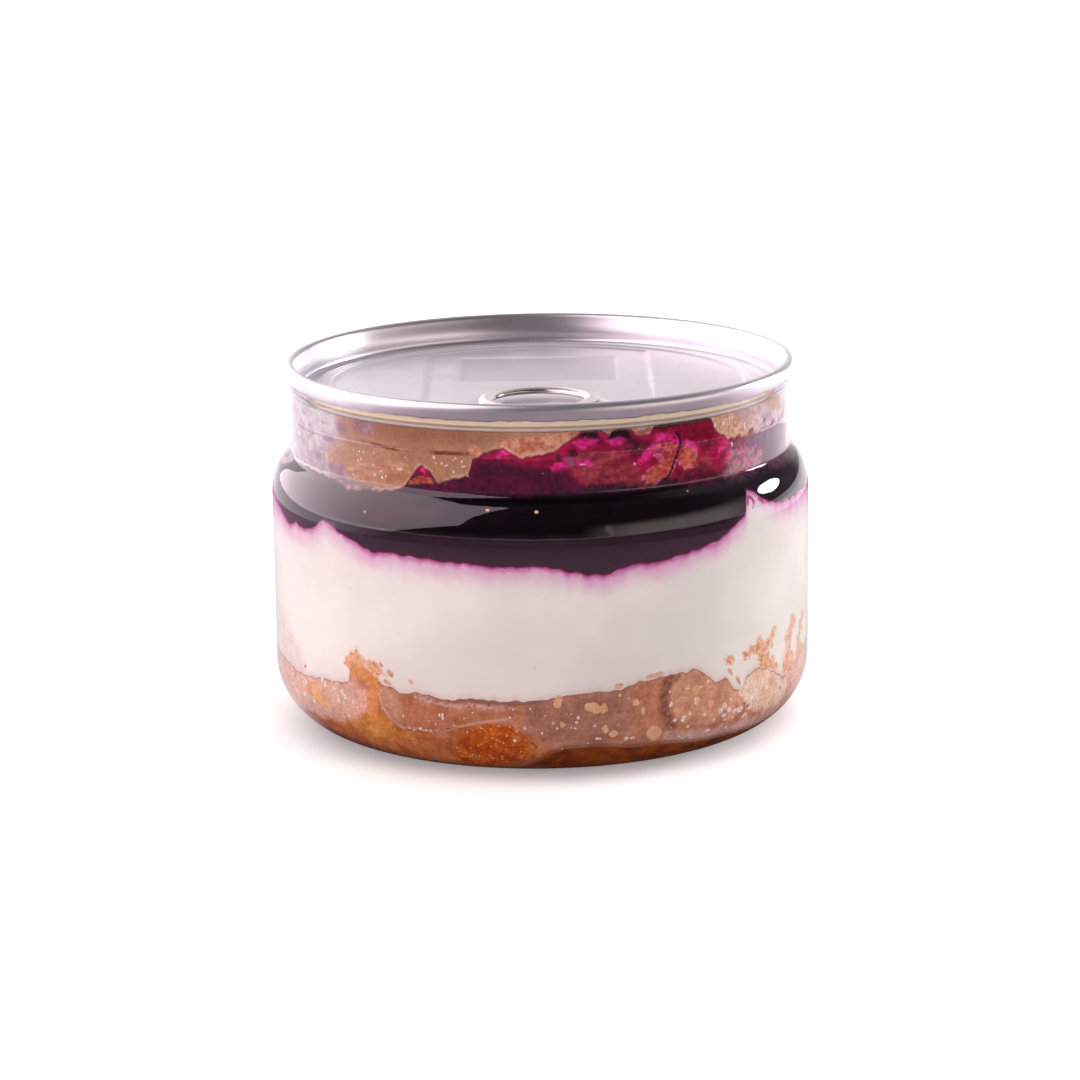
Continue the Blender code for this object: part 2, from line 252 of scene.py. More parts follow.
def new_piece(name, corners, faces, finishes, slot):
    """A mesh object in metres, with its materials, riding on the root body."""
    mesh = bpy.data.meshes.new(name)
    mesh.from_pydata((np.asarray(corners) * MM).tolist(), [], faces)
    mesh.validate()
    mesh.update()
    mesh.shade_smooth()
    for finish in finishes:
        mesh.materials.append(finish)
    thing = bpy.data.objects.new(name, mesh)
    bpy.context.scene.collection.objects.link(thing)
    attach(thing, "root")
    return thing


def ring_faces(rows, columns, first=0):
    """Quads of a closed band of rows; the outside is on the right when rows go down."""
    faces = []
    for i in range(rows - 1):
        a, b = first + i * columns, first + (i + 1) * columns
        for j in range(columns):
            k = (j + 1) % columns
            faces.append((a + j, b + j, b + k, a + k))
    return faces


def cap_faces(top, bottom, first, last, columns):
    """Triangles from a point at each end to the first and the last row, in turn."""
    faces = []
    for j in range(columns):
        k = (j + 1) % columns
        faces += [(top, first + j, first + k), (bottom, last + k, last + j)]
    return faces


def turned_body(name, rows, columns, top, bottom, finishes, slot, sharp=40.0):
    """A closed body of rings from top to bottom, closed by a point at each end."""
    corners = np.concatenate([*rows, [top], [bottom]])
    end = len(rows) * columns
    faces = ring_faces(len(rows), columns) + cap_faces(end, end + 1, 0, end - columns, columns)
    thing = new_piece(name, corners, faces, finishes, slot)
    thing.data.set_sharp_from_angle(angle=math.radians(sharp))
    return thing


def turned_rows(profile, columns):
    """Rings of points for a section line of (r, z)."""
    bearing = np.arange(columns) * (360.0 / columns)
    return [ring(bearing, r, z) for r, z in profile]


def paint(thing, name, values):
    """A number at each point of a mesh, for its material to read."""
    layer = thing.data.attributes.new(name, "FLOAT", "POINT")
    flat = np.zeros(len(thing.data.vertices), np.float32)
    values = np.asarray(values, np.float32).ravel()
    flat[: len(values)] = values
    layer.data.foreach_set("value", flat)


# ------------------------------------------------------------------ shader tools


def shade(colour, factor):
    """A colour made darker or lighter."""
    return tuple(min(1.0, part * factor) for part in colour)


class Wire:
    """A node's output that Python's own operators work on."""

    def __init__(self, finish, socket):
        self.finish = finish
        self.socket = socket

    def maths(self, operation, *terms):
        """A Math node on some terms."""
        return self.finish.node("ShaderNodeMath", {"operation": operation}, dict(enumerate(terms)))

    def __add__(self, other):
        return self.maths("ADD", self, other)

    __radd__ = __add__

    def __sub__(self, other):
        return self.maths("SUBTRACT", self, other)

    def __rsub__(self, other):
        return self.maths("SUBTRACT", other, self)

    def __mul__(self, other):
        return self.maths("MULTIPLY", self, other)

    __rmul__ = __mul__

    def size(self):
        """The value without its sign."""
        return self.maths("ABSOLUTE", self)

    def above(self, low, high):
        """Smooth step from 0 at low to 1 at high."""
        settings = {"interpolation_type": "SMOOTHSTEP"}
        return self.finish.node("ShaderNodeMapRange", settings, {0: self, 1: low, 2: high})

    def below(self, low, high):
        """Smooth step from 1 at low to 0 at high."""
        return 1.0 - self.above(low, high)

    def sway(self, amount):
        """Noise of 0 to 1 turned into a push to both sides."""
        return (self - 0.5) * amount

    def tones(self, first, second, low=0.3, high=0.7):
        """Two colours mixed by a smooth step of this value."""
        return self.finish.blend(self.above(low, high), first, second)


class Finish:
    """A material in the making: node() adds any node, coat() lays a colour over the others."""

    def __init__(self, name, tree=None):
        self.material = None
        if tree is None:
            self.material = bpy.data.materials.new(name)
            self.material.use_nodes = True
            tree = self.material.node_tree
        self.tree = tree
        self.shader = tree.nodes.get("Principled BSDF")
        self.base = None
        self.wobble = None

    def node(self, kind, settings=None, sockets=None, output=0):
        """One node: its settings first, then its sockets' values or links."""
        made = self.tree.nodes.new(kind)
        for key, value in (settings or {}).items():
            setattr(made, key, value)
        for key, value in (sockets or {}).items():
            self.feed(made.inputs[key], value)
        return Wire(self, made.outputs[output])

    def feed(self, socket, value):
        """Link a wire to a socket, or set the socket's own value."""
        if isinstance(value, Wire):
            self.tree.links.new(value.socket, socket)
        elif socket.type == "RGBA":
            socket.default_value = (*value[:3], 1.0)
        else:
            socket.default_value = value

    def set(self, **values):
        """Sockets of the main shader, by name with _ for a space."""
        for key, value in values.items():
            self.feed(self.shader.inputs[key.replace("_", " ")], value)

    def surface(self, share, first, second):
        """End the material in a mix of two shaders."""
        mixed = self.node("ShaderNodeMixShader", None, {0: share, 1: first, 2: second})
        self.feed(self.tree.nodes["Material Output"].inputs["Surface"], mixed)

    def place(self):
        """Position on the object, in metres."""
        return self.node("ShaderNodeTexCoord", output="Object")

    def vector_maths(self, operation, *terms, output=0):
        """A Vector Math node on some terms."""
        settings = {"operation": operation}
        return self.node("ShaderNodeVectorMath", settings, dict(enumerate(terms)), output)

    def stretched(self, factors):
        """Position with its axes stretched."""
        return self.vector_maths("MULTIPLY", self.place(), factors)

    def shifted(self, amount, size, seed):
        """Position pushed about by noise: amount and size in millimetres."""
        sockets = {"Vector": self.place(), "W": seed, "Scale": 1000.0 / size, "Detail": 3.0}
        noise = self.node("ShaderNodeTexNoise", {"noise_dimensions": "4D"}, sockets, "Color")
        centred = self.vector_maths("SUBTRACT", noise, (0.5, 0.5, 0.5))
        scale = {0: centred, "Scale": amount * MM}
        push = self.node("ShaderNodeVectorMath", {"operation": "SCALE"}, scale)
        return self.vector_maths("ADD", self.place(), push)

    def noise(self, size, detail=3.0, roughness=0.5, seed=0.0, vector=None, distortion=0.0):
        """Noise with features of a size in millimetres."""
        sockets = {
            "Vector": vector or self.place(), "W": seed, "Scale": 1000.0 / size,
            "Detail": detail, "Roughness": roughness, "Distortion": distortion,
        }
        return self.node("ShaderNodeTexNoise", {"noise_dimensions": "4D"}, sockets)

    def cells(self, size, vector, output="Distance"):
        """Voronoi cells of a size in millimetres."""
        sockets = {"Vector": vector, "Scale": 1000.0 / size, "Randomness": 1.0}
        return self.node("ShaderNodeTexVoronoi", {"feature": "F1"}, sockets, output)

    def dots(self, size, seed, push, push_size, low, high):
        """1 in dots, one to each cell, their outlines pushed about by noise."""
        return self.cells(size, self.shifted(push, push_size, seed)).below(low, high)

    def painted(self, name):
        """A number painted on the mesh."""
        settings = {"attribute_type": "GEOMETRY", "attribute_name": name}
        return self.node("ShaderNodeAttribute", settings, output="Fac")

    def blend(self, share, first, second, mode="MIX"):
        """Two colours mixed by a share."""
        settings = {"data_type": "RGBA", "blend_type": mode, "clamp_factor": True}
        return self.node("ShaderNodeMix", settings, {0: share, 6: first, 7: second}, 2)

    def within(self, name, wobble, soft=0.12):
        """1 inside a painted region, its edge moved by a wobble in millimetres."""
        return (self.painted(name) + wobble).above(-soft, soft)

    def outline(self, name, wobble, half, soft):
        """1 on the edge of a painted region."""
        return (self.painted(name) + wobble).size().below(half, half + soft)

    def coat(self, share, tone, mode="MIX"):
        """Lay a colour over the base by a share."""
        self.base = self.blend(share, self.base, tone, mode)

    def patch(self, name, sway, soft, tone, share=1.0):
        """Lay a colour inside a painted region, its edge moved by the wobble times sway."""
        inside = self.within(name, self.wobble * sway, soft)
        self.coat(inside * share, tone)
        return inside

    def done(self, height, depth, strength, **values):
        """Feed the shader its base, relief and other values; height 1 stands for depth in mm."""
        relief = {"Height": height, "Distance": depth * MM, "Strength": strength}
        self.set(Base_Color=self.base, Normal=self.node("ShaderNodeBump", None, relief), **values)
        return self.material

    def axis(self, vector, index):
        """One axis of a vector."""
        return self.node("ShaderNodeSeparateXYZ", None, {0: vector}, index)

    def mirrored(self):
        """1 for rays that gloss has mirrored, 0 for those that came through something clear."""
        gloss = self.node("ShaderNodeLightPath", output="Is Glossy Ray")
        through = self.node("ShaderNodeLightPath", output="Is Transmission Ray")
        return gloss * (1.0 - through)


# ------------------------------------------------------------------ settings


def colour_setting(name, description, default):
    return FloatVectorProperty(
        name=name, description=description, default=default,
        size=3, min=0.0, max=1.0, subtype="COLOR",
    )


def length_setting(name, description, default, most):
    return FloatProperty(
        name=name, description=f"{description}, in metres", default=default,
        min=0.0, max=most, unit="LENGTH", subtype="DISTANCE",
    )


def power_setting(name, description, default):
    return FloatProperty(
        name=name, description=f"Power of the {description}, in watts", default=default,
        min=0.0, max=100.0,
    )


class JarSettings(bpy.types.PropertyGroup):
    """Clear jar."""

    tint: colour_setting("Tint", "Colour of the clear plastic", (0.985, 0.98, 0.99))
    roughness: FloatProperty(
        name="Roughness", description="How dull the plastic is", default=0.03, min=0.0, max=1.0
    )
    flow: FloatProperty(
        name="Flow marks", description="Height of the waves left by blowing, in millimetres",
        default=0.02, min=0.0, max=0.2,
    )


class LidSettings(bpy.types.PropertyGroup):
    """Aluminium end and its ring pull."""

    metal: colour_setting("Metal", "Colour of the bare aluminium", (0.80, 0.77, 0.805))
    lacquer: colour_setting("Lacquer", "Colour of the lacquer on the food side", (0.93, 0.69, 0.47))
    ring: colour_setting("Ring", "Colour of the ring pull", (0.86, 0.81, 0.79))
    seam_wave: length_setting(
        "Seam wave", "Height of the waves along the seam's lower edge", 0.00013, 0.0005
    )


class CakeSettings(bpy.types.PropertyGroup):
    """Syrup-soaked semolina cake, below and above."""

    wet_crumb: colour_setting("Wet crumb", "Soaked crumb pressed to the wall", (0.60, 0.255, 0.155))
    warm_crumb: colour_setting("Warm crumb", "Crumb with more syrup", (0.70, 0.325, 0.093))
    pale_crumb: colour_setting("Pale crumb", "Drier crumb with cream in it", (0.69, 0.43, 0.33))
    syrup: colour_setting("Syrup", "Syrup pooled at the foot", (0.13, 0.016, 0.001))
    upper: colour_setting("Upper crumb", "Crumb under the lid", (0.51, 0.262, 0.155))


class CreamSettings(bpy.types.PropertyGroup):
    """Cream."""

    cream: colour_setting("Cream", "Colour of the cream", (0.87, 0.825, 0.775))
    bleed: colour_setting("Bleed", "Jam juice drawn into the cream", (0.78, 0.33, 0.62))
    bleed_width: length_setting("Bleed width", "How far the juice goes in", 0.0045, 0.01)


class JamSettings(bpy.types.PropertyGroup):
    """Blueberry jam and its berries."""

    jam: colour_setting("Jam", "Thick jam", (0.0018, 0.0004, 0.0011))
    thin_jam: colour_setting("Thin jam", "Jam that light comes through", (0.52, 0.009, 0.085))
    skin: colour_setting("Skin", "Berry skin", (0.022, 0.008, 0.03))
    bloom: colour_setting("Bloom", "Waxy bloom on the berries", (0.12, 0.08, 0.16))


class StageSettings(bpy.types.PropertyGroup):
    """Floor, lights and camera."""

    floor: colour_setting("Floor", "Colour of the floor", (0.93, 0.93, 0.93))
    left_shine: power_setting("Left shine", "large soft box that gloss mirrors", 11.0)
    left_box: power_setting("Left box", "soft box that lights from the left", 0.08)
    right_box: power_setting("Right box", "small soft box at the right behind", 1.2)
    over_box: power_setting("Over", "soft box over the floor", 24.0)


# ------------------------------------------------------------------ food lines

# Rises and dips of the guessed edges: (bearing, half width, height) each
LOW_CAKE_ROWS = (
    (-66, 18, -1.7), (-45, 5, 5.6), (-36, 8, 3.6), (10, 10, 1.2), (28, 16, 3.0), (46, 6, -1.8),
    (62, 10, -3.2), (86, 9, 3.0), (112, 14, 2.4), (140, 9, -1.6), (163, 12, 3.4), (-170, 8, 1.2),
    (-146, 14, 2.8), (-118, 10, -1.4), (-98, 9, 2.2), (37, 3, -1.0), (41, 2, 0.9), (50, 3, 2.0),
    (-30, 2, -0.8), (20, 5, 0.5),
)
CREAM_ROWS = (
    (-80, 12, 2.2), (-51, 8, 3.0), (12, 10, -2.2), (26, 10, -1.0), (50, 6, 5.4), (60, 12, 4.0),
    (76, 16, 2.6), (104, 9, -1.4), (128, 12, 2.2), (155, 10, -1.8), (178, 8, 1.4), (-158, 12, -1.6),
    (-130, 10, 1.8), (-106, 8, -1.2), (-62, 5, 0.8), (-20, 9, 0.4), (18, 4, 0.6), (43, 4, 1.0),
)
JAM_ROWS = (
    (-27, 4, 4.0), (-8, 14, 7.0), (2, 12, 4.0), (16, 20, 11.0), (38, 20, 11.0), (60, 16, 4.4),
    (76, 18, 5.0), (106, 12, 3.0), (131, 17, 6.4), (168, 12, 2.6), (-150, 10, 3.8), (-104, 17, 6.0),
    (15.6, 2.2, -2.0), (24.5, 3.6, -1.8), (-6, 3, -0.9),
)

# Edges measured at the front: (bearing, z) each
FRONT_CAKE_LINE = (
    (-78, 14.2), (-62, 12.9), (-53, 13.7), (-44.6, 14.2), (-44.2, 16.4), (-43.9, 18.3),
    (-43.2, 18.5), (-42.6, 20.0), (-42.1, 20.6), (-41.4, 19.6), (-40.8, 18.9), (-40.2, 17.8),
    (-39.0, 17.3), (-37.4, 16.3), (-36.4, 16.2), (-35.6, 15.2), (-32.8, 15.1), (-30.8, 14.1),
    (-26, 14.8), (-20.5, 13.9), (-15, 14.5), (-7, 14.2), (0, 14.5), (7, 15.4), (16, 15.6),
    (20, 16.6), (27, 17.1), (33.6, 17.4), (36.6, 15.6), (39.2, 14.2), (41.2, 15.0), (43.6, 12.6),
    (46.2, 11.6), (47.6, 14.2), (52, 14.9), (58, 13.0), (62, 11.3), (70, 13.0), (79, 14.9),
)
FRONT_CREAM_LINE = (
    (-78, 41.4), (-70, 39.1), (-66.4, 38.1), (-63, 39.1), (-59, 38.5), (-55.8, 39.1), (-51.5, 41.3),
    (-46.8, 39.9), (-42.3, 38.8), (-37.3, 37.5), (-32.7, 37.8), (-27.3, 37.6), (-21, 37.3),
    (-14, 37.1), (-9.6, 36.7), (0, 36.9), (6, 35.9), (9.4, 35.3), (13.3, 35.1), (16, 35.9),
    (18.8, 36.5), (24, 36.4), (29, 37.0), (34.3, 37.7), (39.6, 38.5), (43.4, 40.2), (47.4, 41.5),
    (48.5, 44.2), (49.4, 45.4), (51.0, 44.9), (52.6, 44.2), (54.4, 43.0), (61, 41.6), (68, 41.6),
    (78, 42.2),
)
FRONT_JAM_LINE = (
    (-100, 45.2), (-92, 45.3), (-79, 45.8), (-76, 47.0), (-66, 47.5), (-58, 47.2), (-51, 46.9),
    (-48, 46.4), (-45, 46.3), (-42, 46.7), (-36, 46.9), (-33, 47.4), (-30.5, 49.2), (-28.4, 51.2),
    (-26.8, 52.1), (-25.2, 51.3), (-23.2, 49.2), (-15.8, 51.0), (-15, 53.3), (-13.6, 54.2),
    (-11, 55.0), (-8.4, 55.6), (-6.4, 54.6), (-4, 54.0), (0, 54.4), (3, 54.9), (5.4, 56.2),
    (7.6, 57.2), (9.3, 58.5), (13.4, 58.5), (15.3, 57.2), (16.8, 58.5), (19.6, 58.5), (21.2, 57.4),
    (23, 56.8), (25, 57.0), (26, 58.5), (41.2, 58.5), (43, 55.6), (47, 54.0), (51.4, 53.6),
    (62, 53.4), (76, 53.4),
)

# Pockets of air at the front, drawn as painted glints: (bearing, z, half width, half height) each
LOW_POCKETS = (
    (-60.3, 11.8, 0.47, 0.57), (-61.2, 9.6, 0.45, 0.47), (-53.5, 13.4, 0.39, 0.47),
    (-52.3, 12.8, 0.41, 0.65), (-49.2, 12.6, 0.3, 0.47), (-47.9, 11, 0.46, 0.83),
    (-46.7, 12.3, 0.44, 0.57), (-45.7, 11.7, 0.51, 0.47), (-43.4, 11.1, 0.32, 0.47),
    (-42, 10.5, 0.22, 0.23), (-45.3, 8.4, 0.33, 0.25), (-57.5, 9, 0.53, 0.22),
    (-30.2, 10.4, 0.19, 0.2), (-29, 8.4, 0.18, 0.14), (-28, 8.2, 0.22, 0.14),
    (-26.4, 8.6, 0.3, 0.22), (-25.1, 8.4, 0.26, 0.14), (-24, 8.5, 0.18, 0.13),
    (-21.8, 11.3, 0.17, 0.36), (-46.2, 10.6, 0.26, 0.22), (-44.5, 10.4, 0.25, 0.16),
    (-50, 13.6, 0.22, 0.25), (27.2, 12.1, 0.4, 0.48), (31.2, 14.5, 0.45, 0.45),
    (34.6, 14.2, 0.39, 0.19), (33.2, 12, 0.42, 0.78), (35.7, 9.3, 0.32, 0.42),
    (40, 9.3, 0.59, 0.65), (41, 10, 0.68, 0.58), (42.5, 9.1, 0.53, 0.58), (41.2, 8.3, 0.6, 0.39),
    (38.5, 8, 0.33, 0.26), (30.3, 9.3, 0.49, 0.65), (31.7, 7.7, 0.3, 0.26), (28.2, 9.3, 0.33, 0.45),
    (44.3, 8.7, 0.63, 0.45), (45.9, 8.6, 0.84, 0.65), (48.1, 7.2, 0.68, 0.45),
    (49.1, 8.4, 0.39, 0.36), (37.7, 6.1, 0.57, 0.39), (52.1, 11.3, 0.42, 0.36),
    (54.6, 10.8, 0.56, 0.45), (48.9, 13.2, 0.29, 0.26), (45.4, 11.5, 0.37, 0.61),
    (36.3, 14.9, 0.32, 0.23), (43.3, 5.8, 0.27, 0.26), (30.1, 6.1, 0.3, 0.19),
    (20.8, 11.7, 0.31, 0.58), (26.9, 14.3, 0.25, 0.29), (50, 10.9, 0.35, 0.39),
    (51.4, 9.3, 0.41, 0.39), (41.8, 7.5, 0.3, 0.23), (44.2, 7.5, 0.41, 0.26), (31.8, 10, 0.3, 0.39),
    (42.7, 10.8, 0.26, 0.29), (47.8, 9.6, 0.29, 0.32), (-3.8, 9.8, 0.23, 0.28),
    (-0.3, 8.9, 0.23, 0.23), (2.8, 9.7, 0.21, 0.21), (6.8, 10.6, 0.3, 0.3), (0.4, 11.9, 0.16, 0.16),
    (-6.8, 11.6, 0.21, 0.21), (-14.6, 12.1, 0.17, 0.16), (-2.7, 13.1, 0.18, 0.18),
    (17.5, 7.1, 0.44, 0.37), (18.9, 7.1, 0.39, 0.32), (11.4, 7.5, 0.42, 0.32),
    (15.8, 14.7, 0.22, 0.23), (17.8, 14.1, 0.17, 0.16), (9.3, 6.7, 0.19, 0.16),
    (-21.1, 11.1, 0.3, 0.6), (-6.2, 12.9, 0.16, 0.16), (-16.4, 11.1, 0.14, 0.14),
    (3.9, 5.9, 0.16, 0.14),
)
NECK_POCKETS = (
    (-39.8, 49.5, 0.3, 0.28), (-37.9, 50.3, 0.29, 0.35), (-37.6, 49.3, 0.29, 0.46),
    (-36.5, 49.6, 0.23, 0.32), (-32.6, 51.1, 0.71, 0.35), (-34.8, 51, 0.28, 0.18),
    (-39.8, 53.2, 0.21, 0.18), (-43.1, 53, 0.22, 0.18), (-41.8, 53.1, 0.15, 0.14),
    (-31.1, 53.2, 0.22, 0.21), (-23.5, 52.7, 0.25, 0.28), (-20.8, 52.5, 0.2, 0.21),
    (-19.3, 53.4, 0.17, 0.16), (-17.4, 53.2, 0.19, 0.3), (-17.3, 52.4, 0.17, 0.23),
    (-46.5, 48.9, 0.23, 0.18), (-40.1, 51.2, 0.3, 0.09), (-24.5, 51.3, 0.18, 0.14),
    (42.6, 56.9, 0.31, 0.6), (43.4, 56.2, 0.22, 0.32), (48.2, 53, 0.35, 0.42),
    (50.8, 49.3, 0.22, 0.32), (21.2, 52.3, 0.2, 0.32), (33.6, 46.7, 0.19, 0.14),
    (52.9, 55.9, 0.38, 0.18), (9.3, 52.8, 0.61, 0.12),
)

# Guessed groups of pockets: (bearing, z, spread across, spread up, count) and how tall they are
LOW_GROUPS = (
    (-66, 10.5, 5, 2.2, 6, 1.8), (5, 11, 14, 3.0, 8, 0.9), (62, 10, 5, 2.0, 6, 1.6),
    (112, 9.5, 12, 2.6, 20, 1.8), (160, 9.5, 14, 2.6, 22, 1.8), (-120, 9.5, 18, 2.6, 28, 1.8),
    (-165, 9.5, 12, 2.6, 14, 1.8), (-82, 10, 8, 2.2, 12, 1.8), (84, 10, 8, 2.2, 12, 1.8),
)
NECK_GROUPS = (
    (-46, 52, 4, 1.6, 5), (-18, 52.4, 6, 2.4, 8), (48, 57, 6, 1.2, 8), (150, 54, 16, 2, 20),
    (-150, 53, 16, 2, 20),
)

# Lumps and crumbs: (bearing, z, half width, half height, proud) each
LOW_LUMPS = (
    (3.0, 14.1, 0.75, 1.1, 0.10), (10.2, 12.9, 1.35, 1.05, 0.12), (12.4, 12.7, 0.8, 0.75, 0.10),
    (19.3, 13.2, 0.65, 0.65, 0.10), (3.9, 10.3, 0.55, 0.5, 0.10), (12.8, 9.1, 0.6, 0.75, 0.10),
    (14.6, 8.2, 0.85, 0.65, 0.12), (23.7, 7.5, 1.45, 1.45, 0.14), (20.9, 11.7, 0.3, 0.8, 0.08),
    (31.3, 14.7, 0.5, 0.45, 0.10), (33.3, 13.8, 0.85, 1.0, 0.10), (33.6, 11.9, 0.4, 0.9, 0.08),
    (37.0, 11.0, 0.7, 0.75, 0.10), (2.0, 10.6, 0.25, 0.25, 0.06), (15.6, 16.1, 0.5, 0.3, 0.06),
)
JAM_CRUMBS = (
    (-11.2, 45.7, 0.35, 0.2, 0.06), (-0.9, 45.5, 0.35, 0.24, 0.06), (-39.5, 43.8, 0.22, 0.22, 0.05),
    (118, 44.6, 0.3, 0.25, 0.06), (-128, 45.2, 0.35, 0.25, 0.06), (170, 44.0, 0.3, 0.22, 0.06),
)
CAKE_CHUNKS = ((22.6, 57.3, 1.0, 0.5, 0.10), (24.6, 57.7, 0.6, 0.4, 0.10))
CHUNK_BEARINGS = (125, 131, 140, -95, -104, -112, 150, 170)
HOLLOWS = ((150, 10, 0.6), (-168, 12, 0.7), (-130, 14, 0.7))

# Regions of the food against the wall, as rings of (bearing, z) corners. Strokes are lines of
# them, with a half width before.
CAKE_REGIONS = {
    "streak": (
        (
            (-41.4, 20.7), (-40.2, 19.4), (-39.7, 17.8), (-37.6, 17.7), (-35.8, 16.9),
            (-35.8, 15.4), (-36.5, 14.6), (-36.3, 13.1), (-36.2, 11.4), (-36.2, 10), (-38.8, 9.1),
            (-40.1, 9.9), (-39, 11), (-39.3, 12.3), (-38.9, 13.5), (-38.3, 14.8), (-41.4, 15.2),
            (-44.6, 15.9), (-45.2, 17.9), (-44.6, 19.4), (-42.7, 20.6),
        ),
        ((-60, 12), (-56, 12.4), (-52.5, 10.6), (-52.6, 8.8), (-57, 8.8), (-60, 10.4)),
    ),
    "gold": (
        (
            (-38.8, 10.5), (-36, 11.2), (-34.1, 10.3), (-32.7, 9.1), (-31.7, 7.8), (-27.9, 7.6),
            (-30.3, 6.2), (-36.9, 5.7), (-41.9, 5.9), (-45.1, 6.2), (-45.8, 7.1), (-41.7, 8.6),
        ),
    ),
    "amber": (
        (
            (-57.5, 12.1), (-54.1, 12.3), (-53.8, 10.9), (-50.9, 11.1), (-51.1, 9.1), (-53.4, 8.5),
            (-58, 8.6), (-58.2, 10.4),
        ),
    ),
    "light_side": (
        (
            (-36.1, 14.3), (-33.9, 14.9), (-31.7, 14.4), (-30.7, 13), (-30.3, 10.7), (-30.9, 8.7),
            (-32.5, 8.7), (-34.4, 10.5), (-36, 11.6),
        ),
    ),
    "toasted": (
        (
            (-84, 6.6), (-60, 7.6), (-44, 8.6), (-30, 9.0), (-10, 10.6), (-2, 8.4), (1, 5.8),
            (4, 5.0), (4, -1), (-84, -1),
        ),
    ),
    "pale": (
        (
            (-84, 15), (-60.8, 15.4), (-53.7, 15), (-43.3, 14.8), (-39.5, 13.0), (-39.2, 10.2),
            (-43.8, 7.8), (-54.4, 6.4), (-66, 6.0), (-84, 5.5),
        ),
        ((59, 14), (82, 16), (84, 6), (66, 5.6), (59, 9)),
    ),
    "first_chunk": (
        (
            (-36, 13.7), (-33.8, 15.4), (-20.3, 15.4), (-4.7, 15.4), (-4.1, 10.1), (-7.4, 11.3),
            (-13.3, 10.5), (-18, 9.4), (-22.9, 8.2), (-30.3, 8.1), (-32.6, 8.9), (-35.4, 11.2),
        ),
    ),
    "mauve": (
        (
            (-4.7, 15.5), (5, 16), (16.6, 16.6), (20.0, 12.5), (17.5, 8.4), (11.7, 6.6), (0, 7.2),
            (-2.8, 9.0), (-4.4, 10.7),
        ),
    ),
    "second_chunk": (
        (
            (28.6, 17.4), (33.6, 18.4), (39.2, 15), (41.2, 15.6), (44, 13), (46.4, 11.4), (47, 8.6),
            (43.6, 7.4), (37.9, 7.3), (31.6, 7.8), (28.8, 9.3), (27.4, 11.9), (27.2, 14.2),
        ),
    ),
    "third_chunk": (
        (
            (47, 15.4), (52.3, 15.4), (60.6, 12.4), (66, 6.9), (60, 6.2), (50.5, 7.6), (47.3, 10),
            (46.3, 12),
        ),
    ),
    "granular": (
        (
            (-19.2, 6.4), (-15.9, 8.9), (-11.6, 10.4), (-6.5, 10.1), (-3.5, 8), (-2.9, 5.7),
            (-3.8, 3.5), (-13.4, 1.8), (-20, 2.7),
        ),
        ((-0.6, 5.2), (3, 5.0), (3, 2.6), (-0.6, 2.6)),
    ),
    "syrup": (
        (
            (-9, 0), (-4, 1.6), (-1.2, 3.4), (1.6, 5.0), (4.5, 5.9), (10.7, 6.1), (20.5, 5.2),
            (27.6, 5.1), (35.2, 4.3), (45.3, 4.0), (60, 3.4), (70, 0), (-1, 0),
        ),
    ),
    "band": (
        (
            (27.5, 5.2), (26.1, 7.4), (33.9, 6.6), (43.6, 6.2), (55, 6.4), (70, 6.0), (70, 3.2),
            (45, 4.0),
        ),
    ),
    "violet": (((-74, 4), (-60, 4.6), (-48, 3.6), (-36, 2.4), (-20, 1.6), (-20, 0), (-74, 0)),),
}
CAKE_STROKES = {
    "film": (0.3, (
        ((-27.5, 13.9), (-24, 13.6), (-20.3, 13.0), (-15, 13.2), (-8.1, 13.1), (-5.4, 13.0)),
    )),
    "border": (0.3, (((-20, 13.9), (-15, 14.2), (-10, 14.0), (-6, 13.8), (-1, 14.2)),)),
    "dark_rim": (0.85, (
        ((28.3, 16.8), (26.3, 15.6), (25.6, 13.7), (25.4, 11.8), (26.4, 9.6), (27.9, 7.9)),
    )),
    "crack": (0.16, (
        ((-30.3, 8.2), (-26.4, 8.0), (-22.9, 8.2), (-20.2, 9.0), (-18, 9.3)),
        ((-2.6, 7.2), (-1.4, 6.4), (-2, 5.6)), ((-36.4, 15.2), (-35, 15.6), (-34, 15.0)),
    )),
}
CREAM_REGIONS = {
    "corner": (((-90, 11), (-62, 12.0), (-59, 13.6), (-63, 17.5), (-70, 21.5), (-90, 25)),),
    "smear": (
        (
            (46.4, 18.6), (46.8, 17.0), (50.2, 17.6), (51.4, 15.8), (52.6, 14.6), (57.6, 13.2),
            (60, 13.6), (56.4, 15.6), (54.8, 17.2), (57.2, 18.4), (58.6, 20.8), (56.6, 20.6),
            (54.6, 19.2), (52.2, 20.0), (50.2, 18.6),
        ),
        (
            (61.6, 12), (67, 11), (68.6, 13.6), (66.0, 15.4), (66.8, 17.8), (69.0, 20.2),
            (66.6, 21.2), (64.6, 19.2), (62.4, 18.0), (64.2, 16.6), (62, 14.6),
        ),
        (
            (69.6, 12), (77, 12), (75.0, 13.8), (72.6, 15.8), (75.2, 18.6), (77.4, 19.4),
            (73.4, 20.6), (71.4, 18.0), (70.2, 16.2), (68.8, 14.0),
        ),
        ((41.2, 18.0), (44, 18.4), (44, 17.2), (42, 17)),
        ((-46.4, 17.6), (-44.6, 19.4), (-43.2, 20.0), (-42.2, 18.4), (-44.2, 16.6)),
        ((-41.4, 19.8), (-39.6, 19.2), (-35.4, 18.2), (-34.2, 16.4), (-38, 16.6), (-40.8, 18.2)),
    ),
}
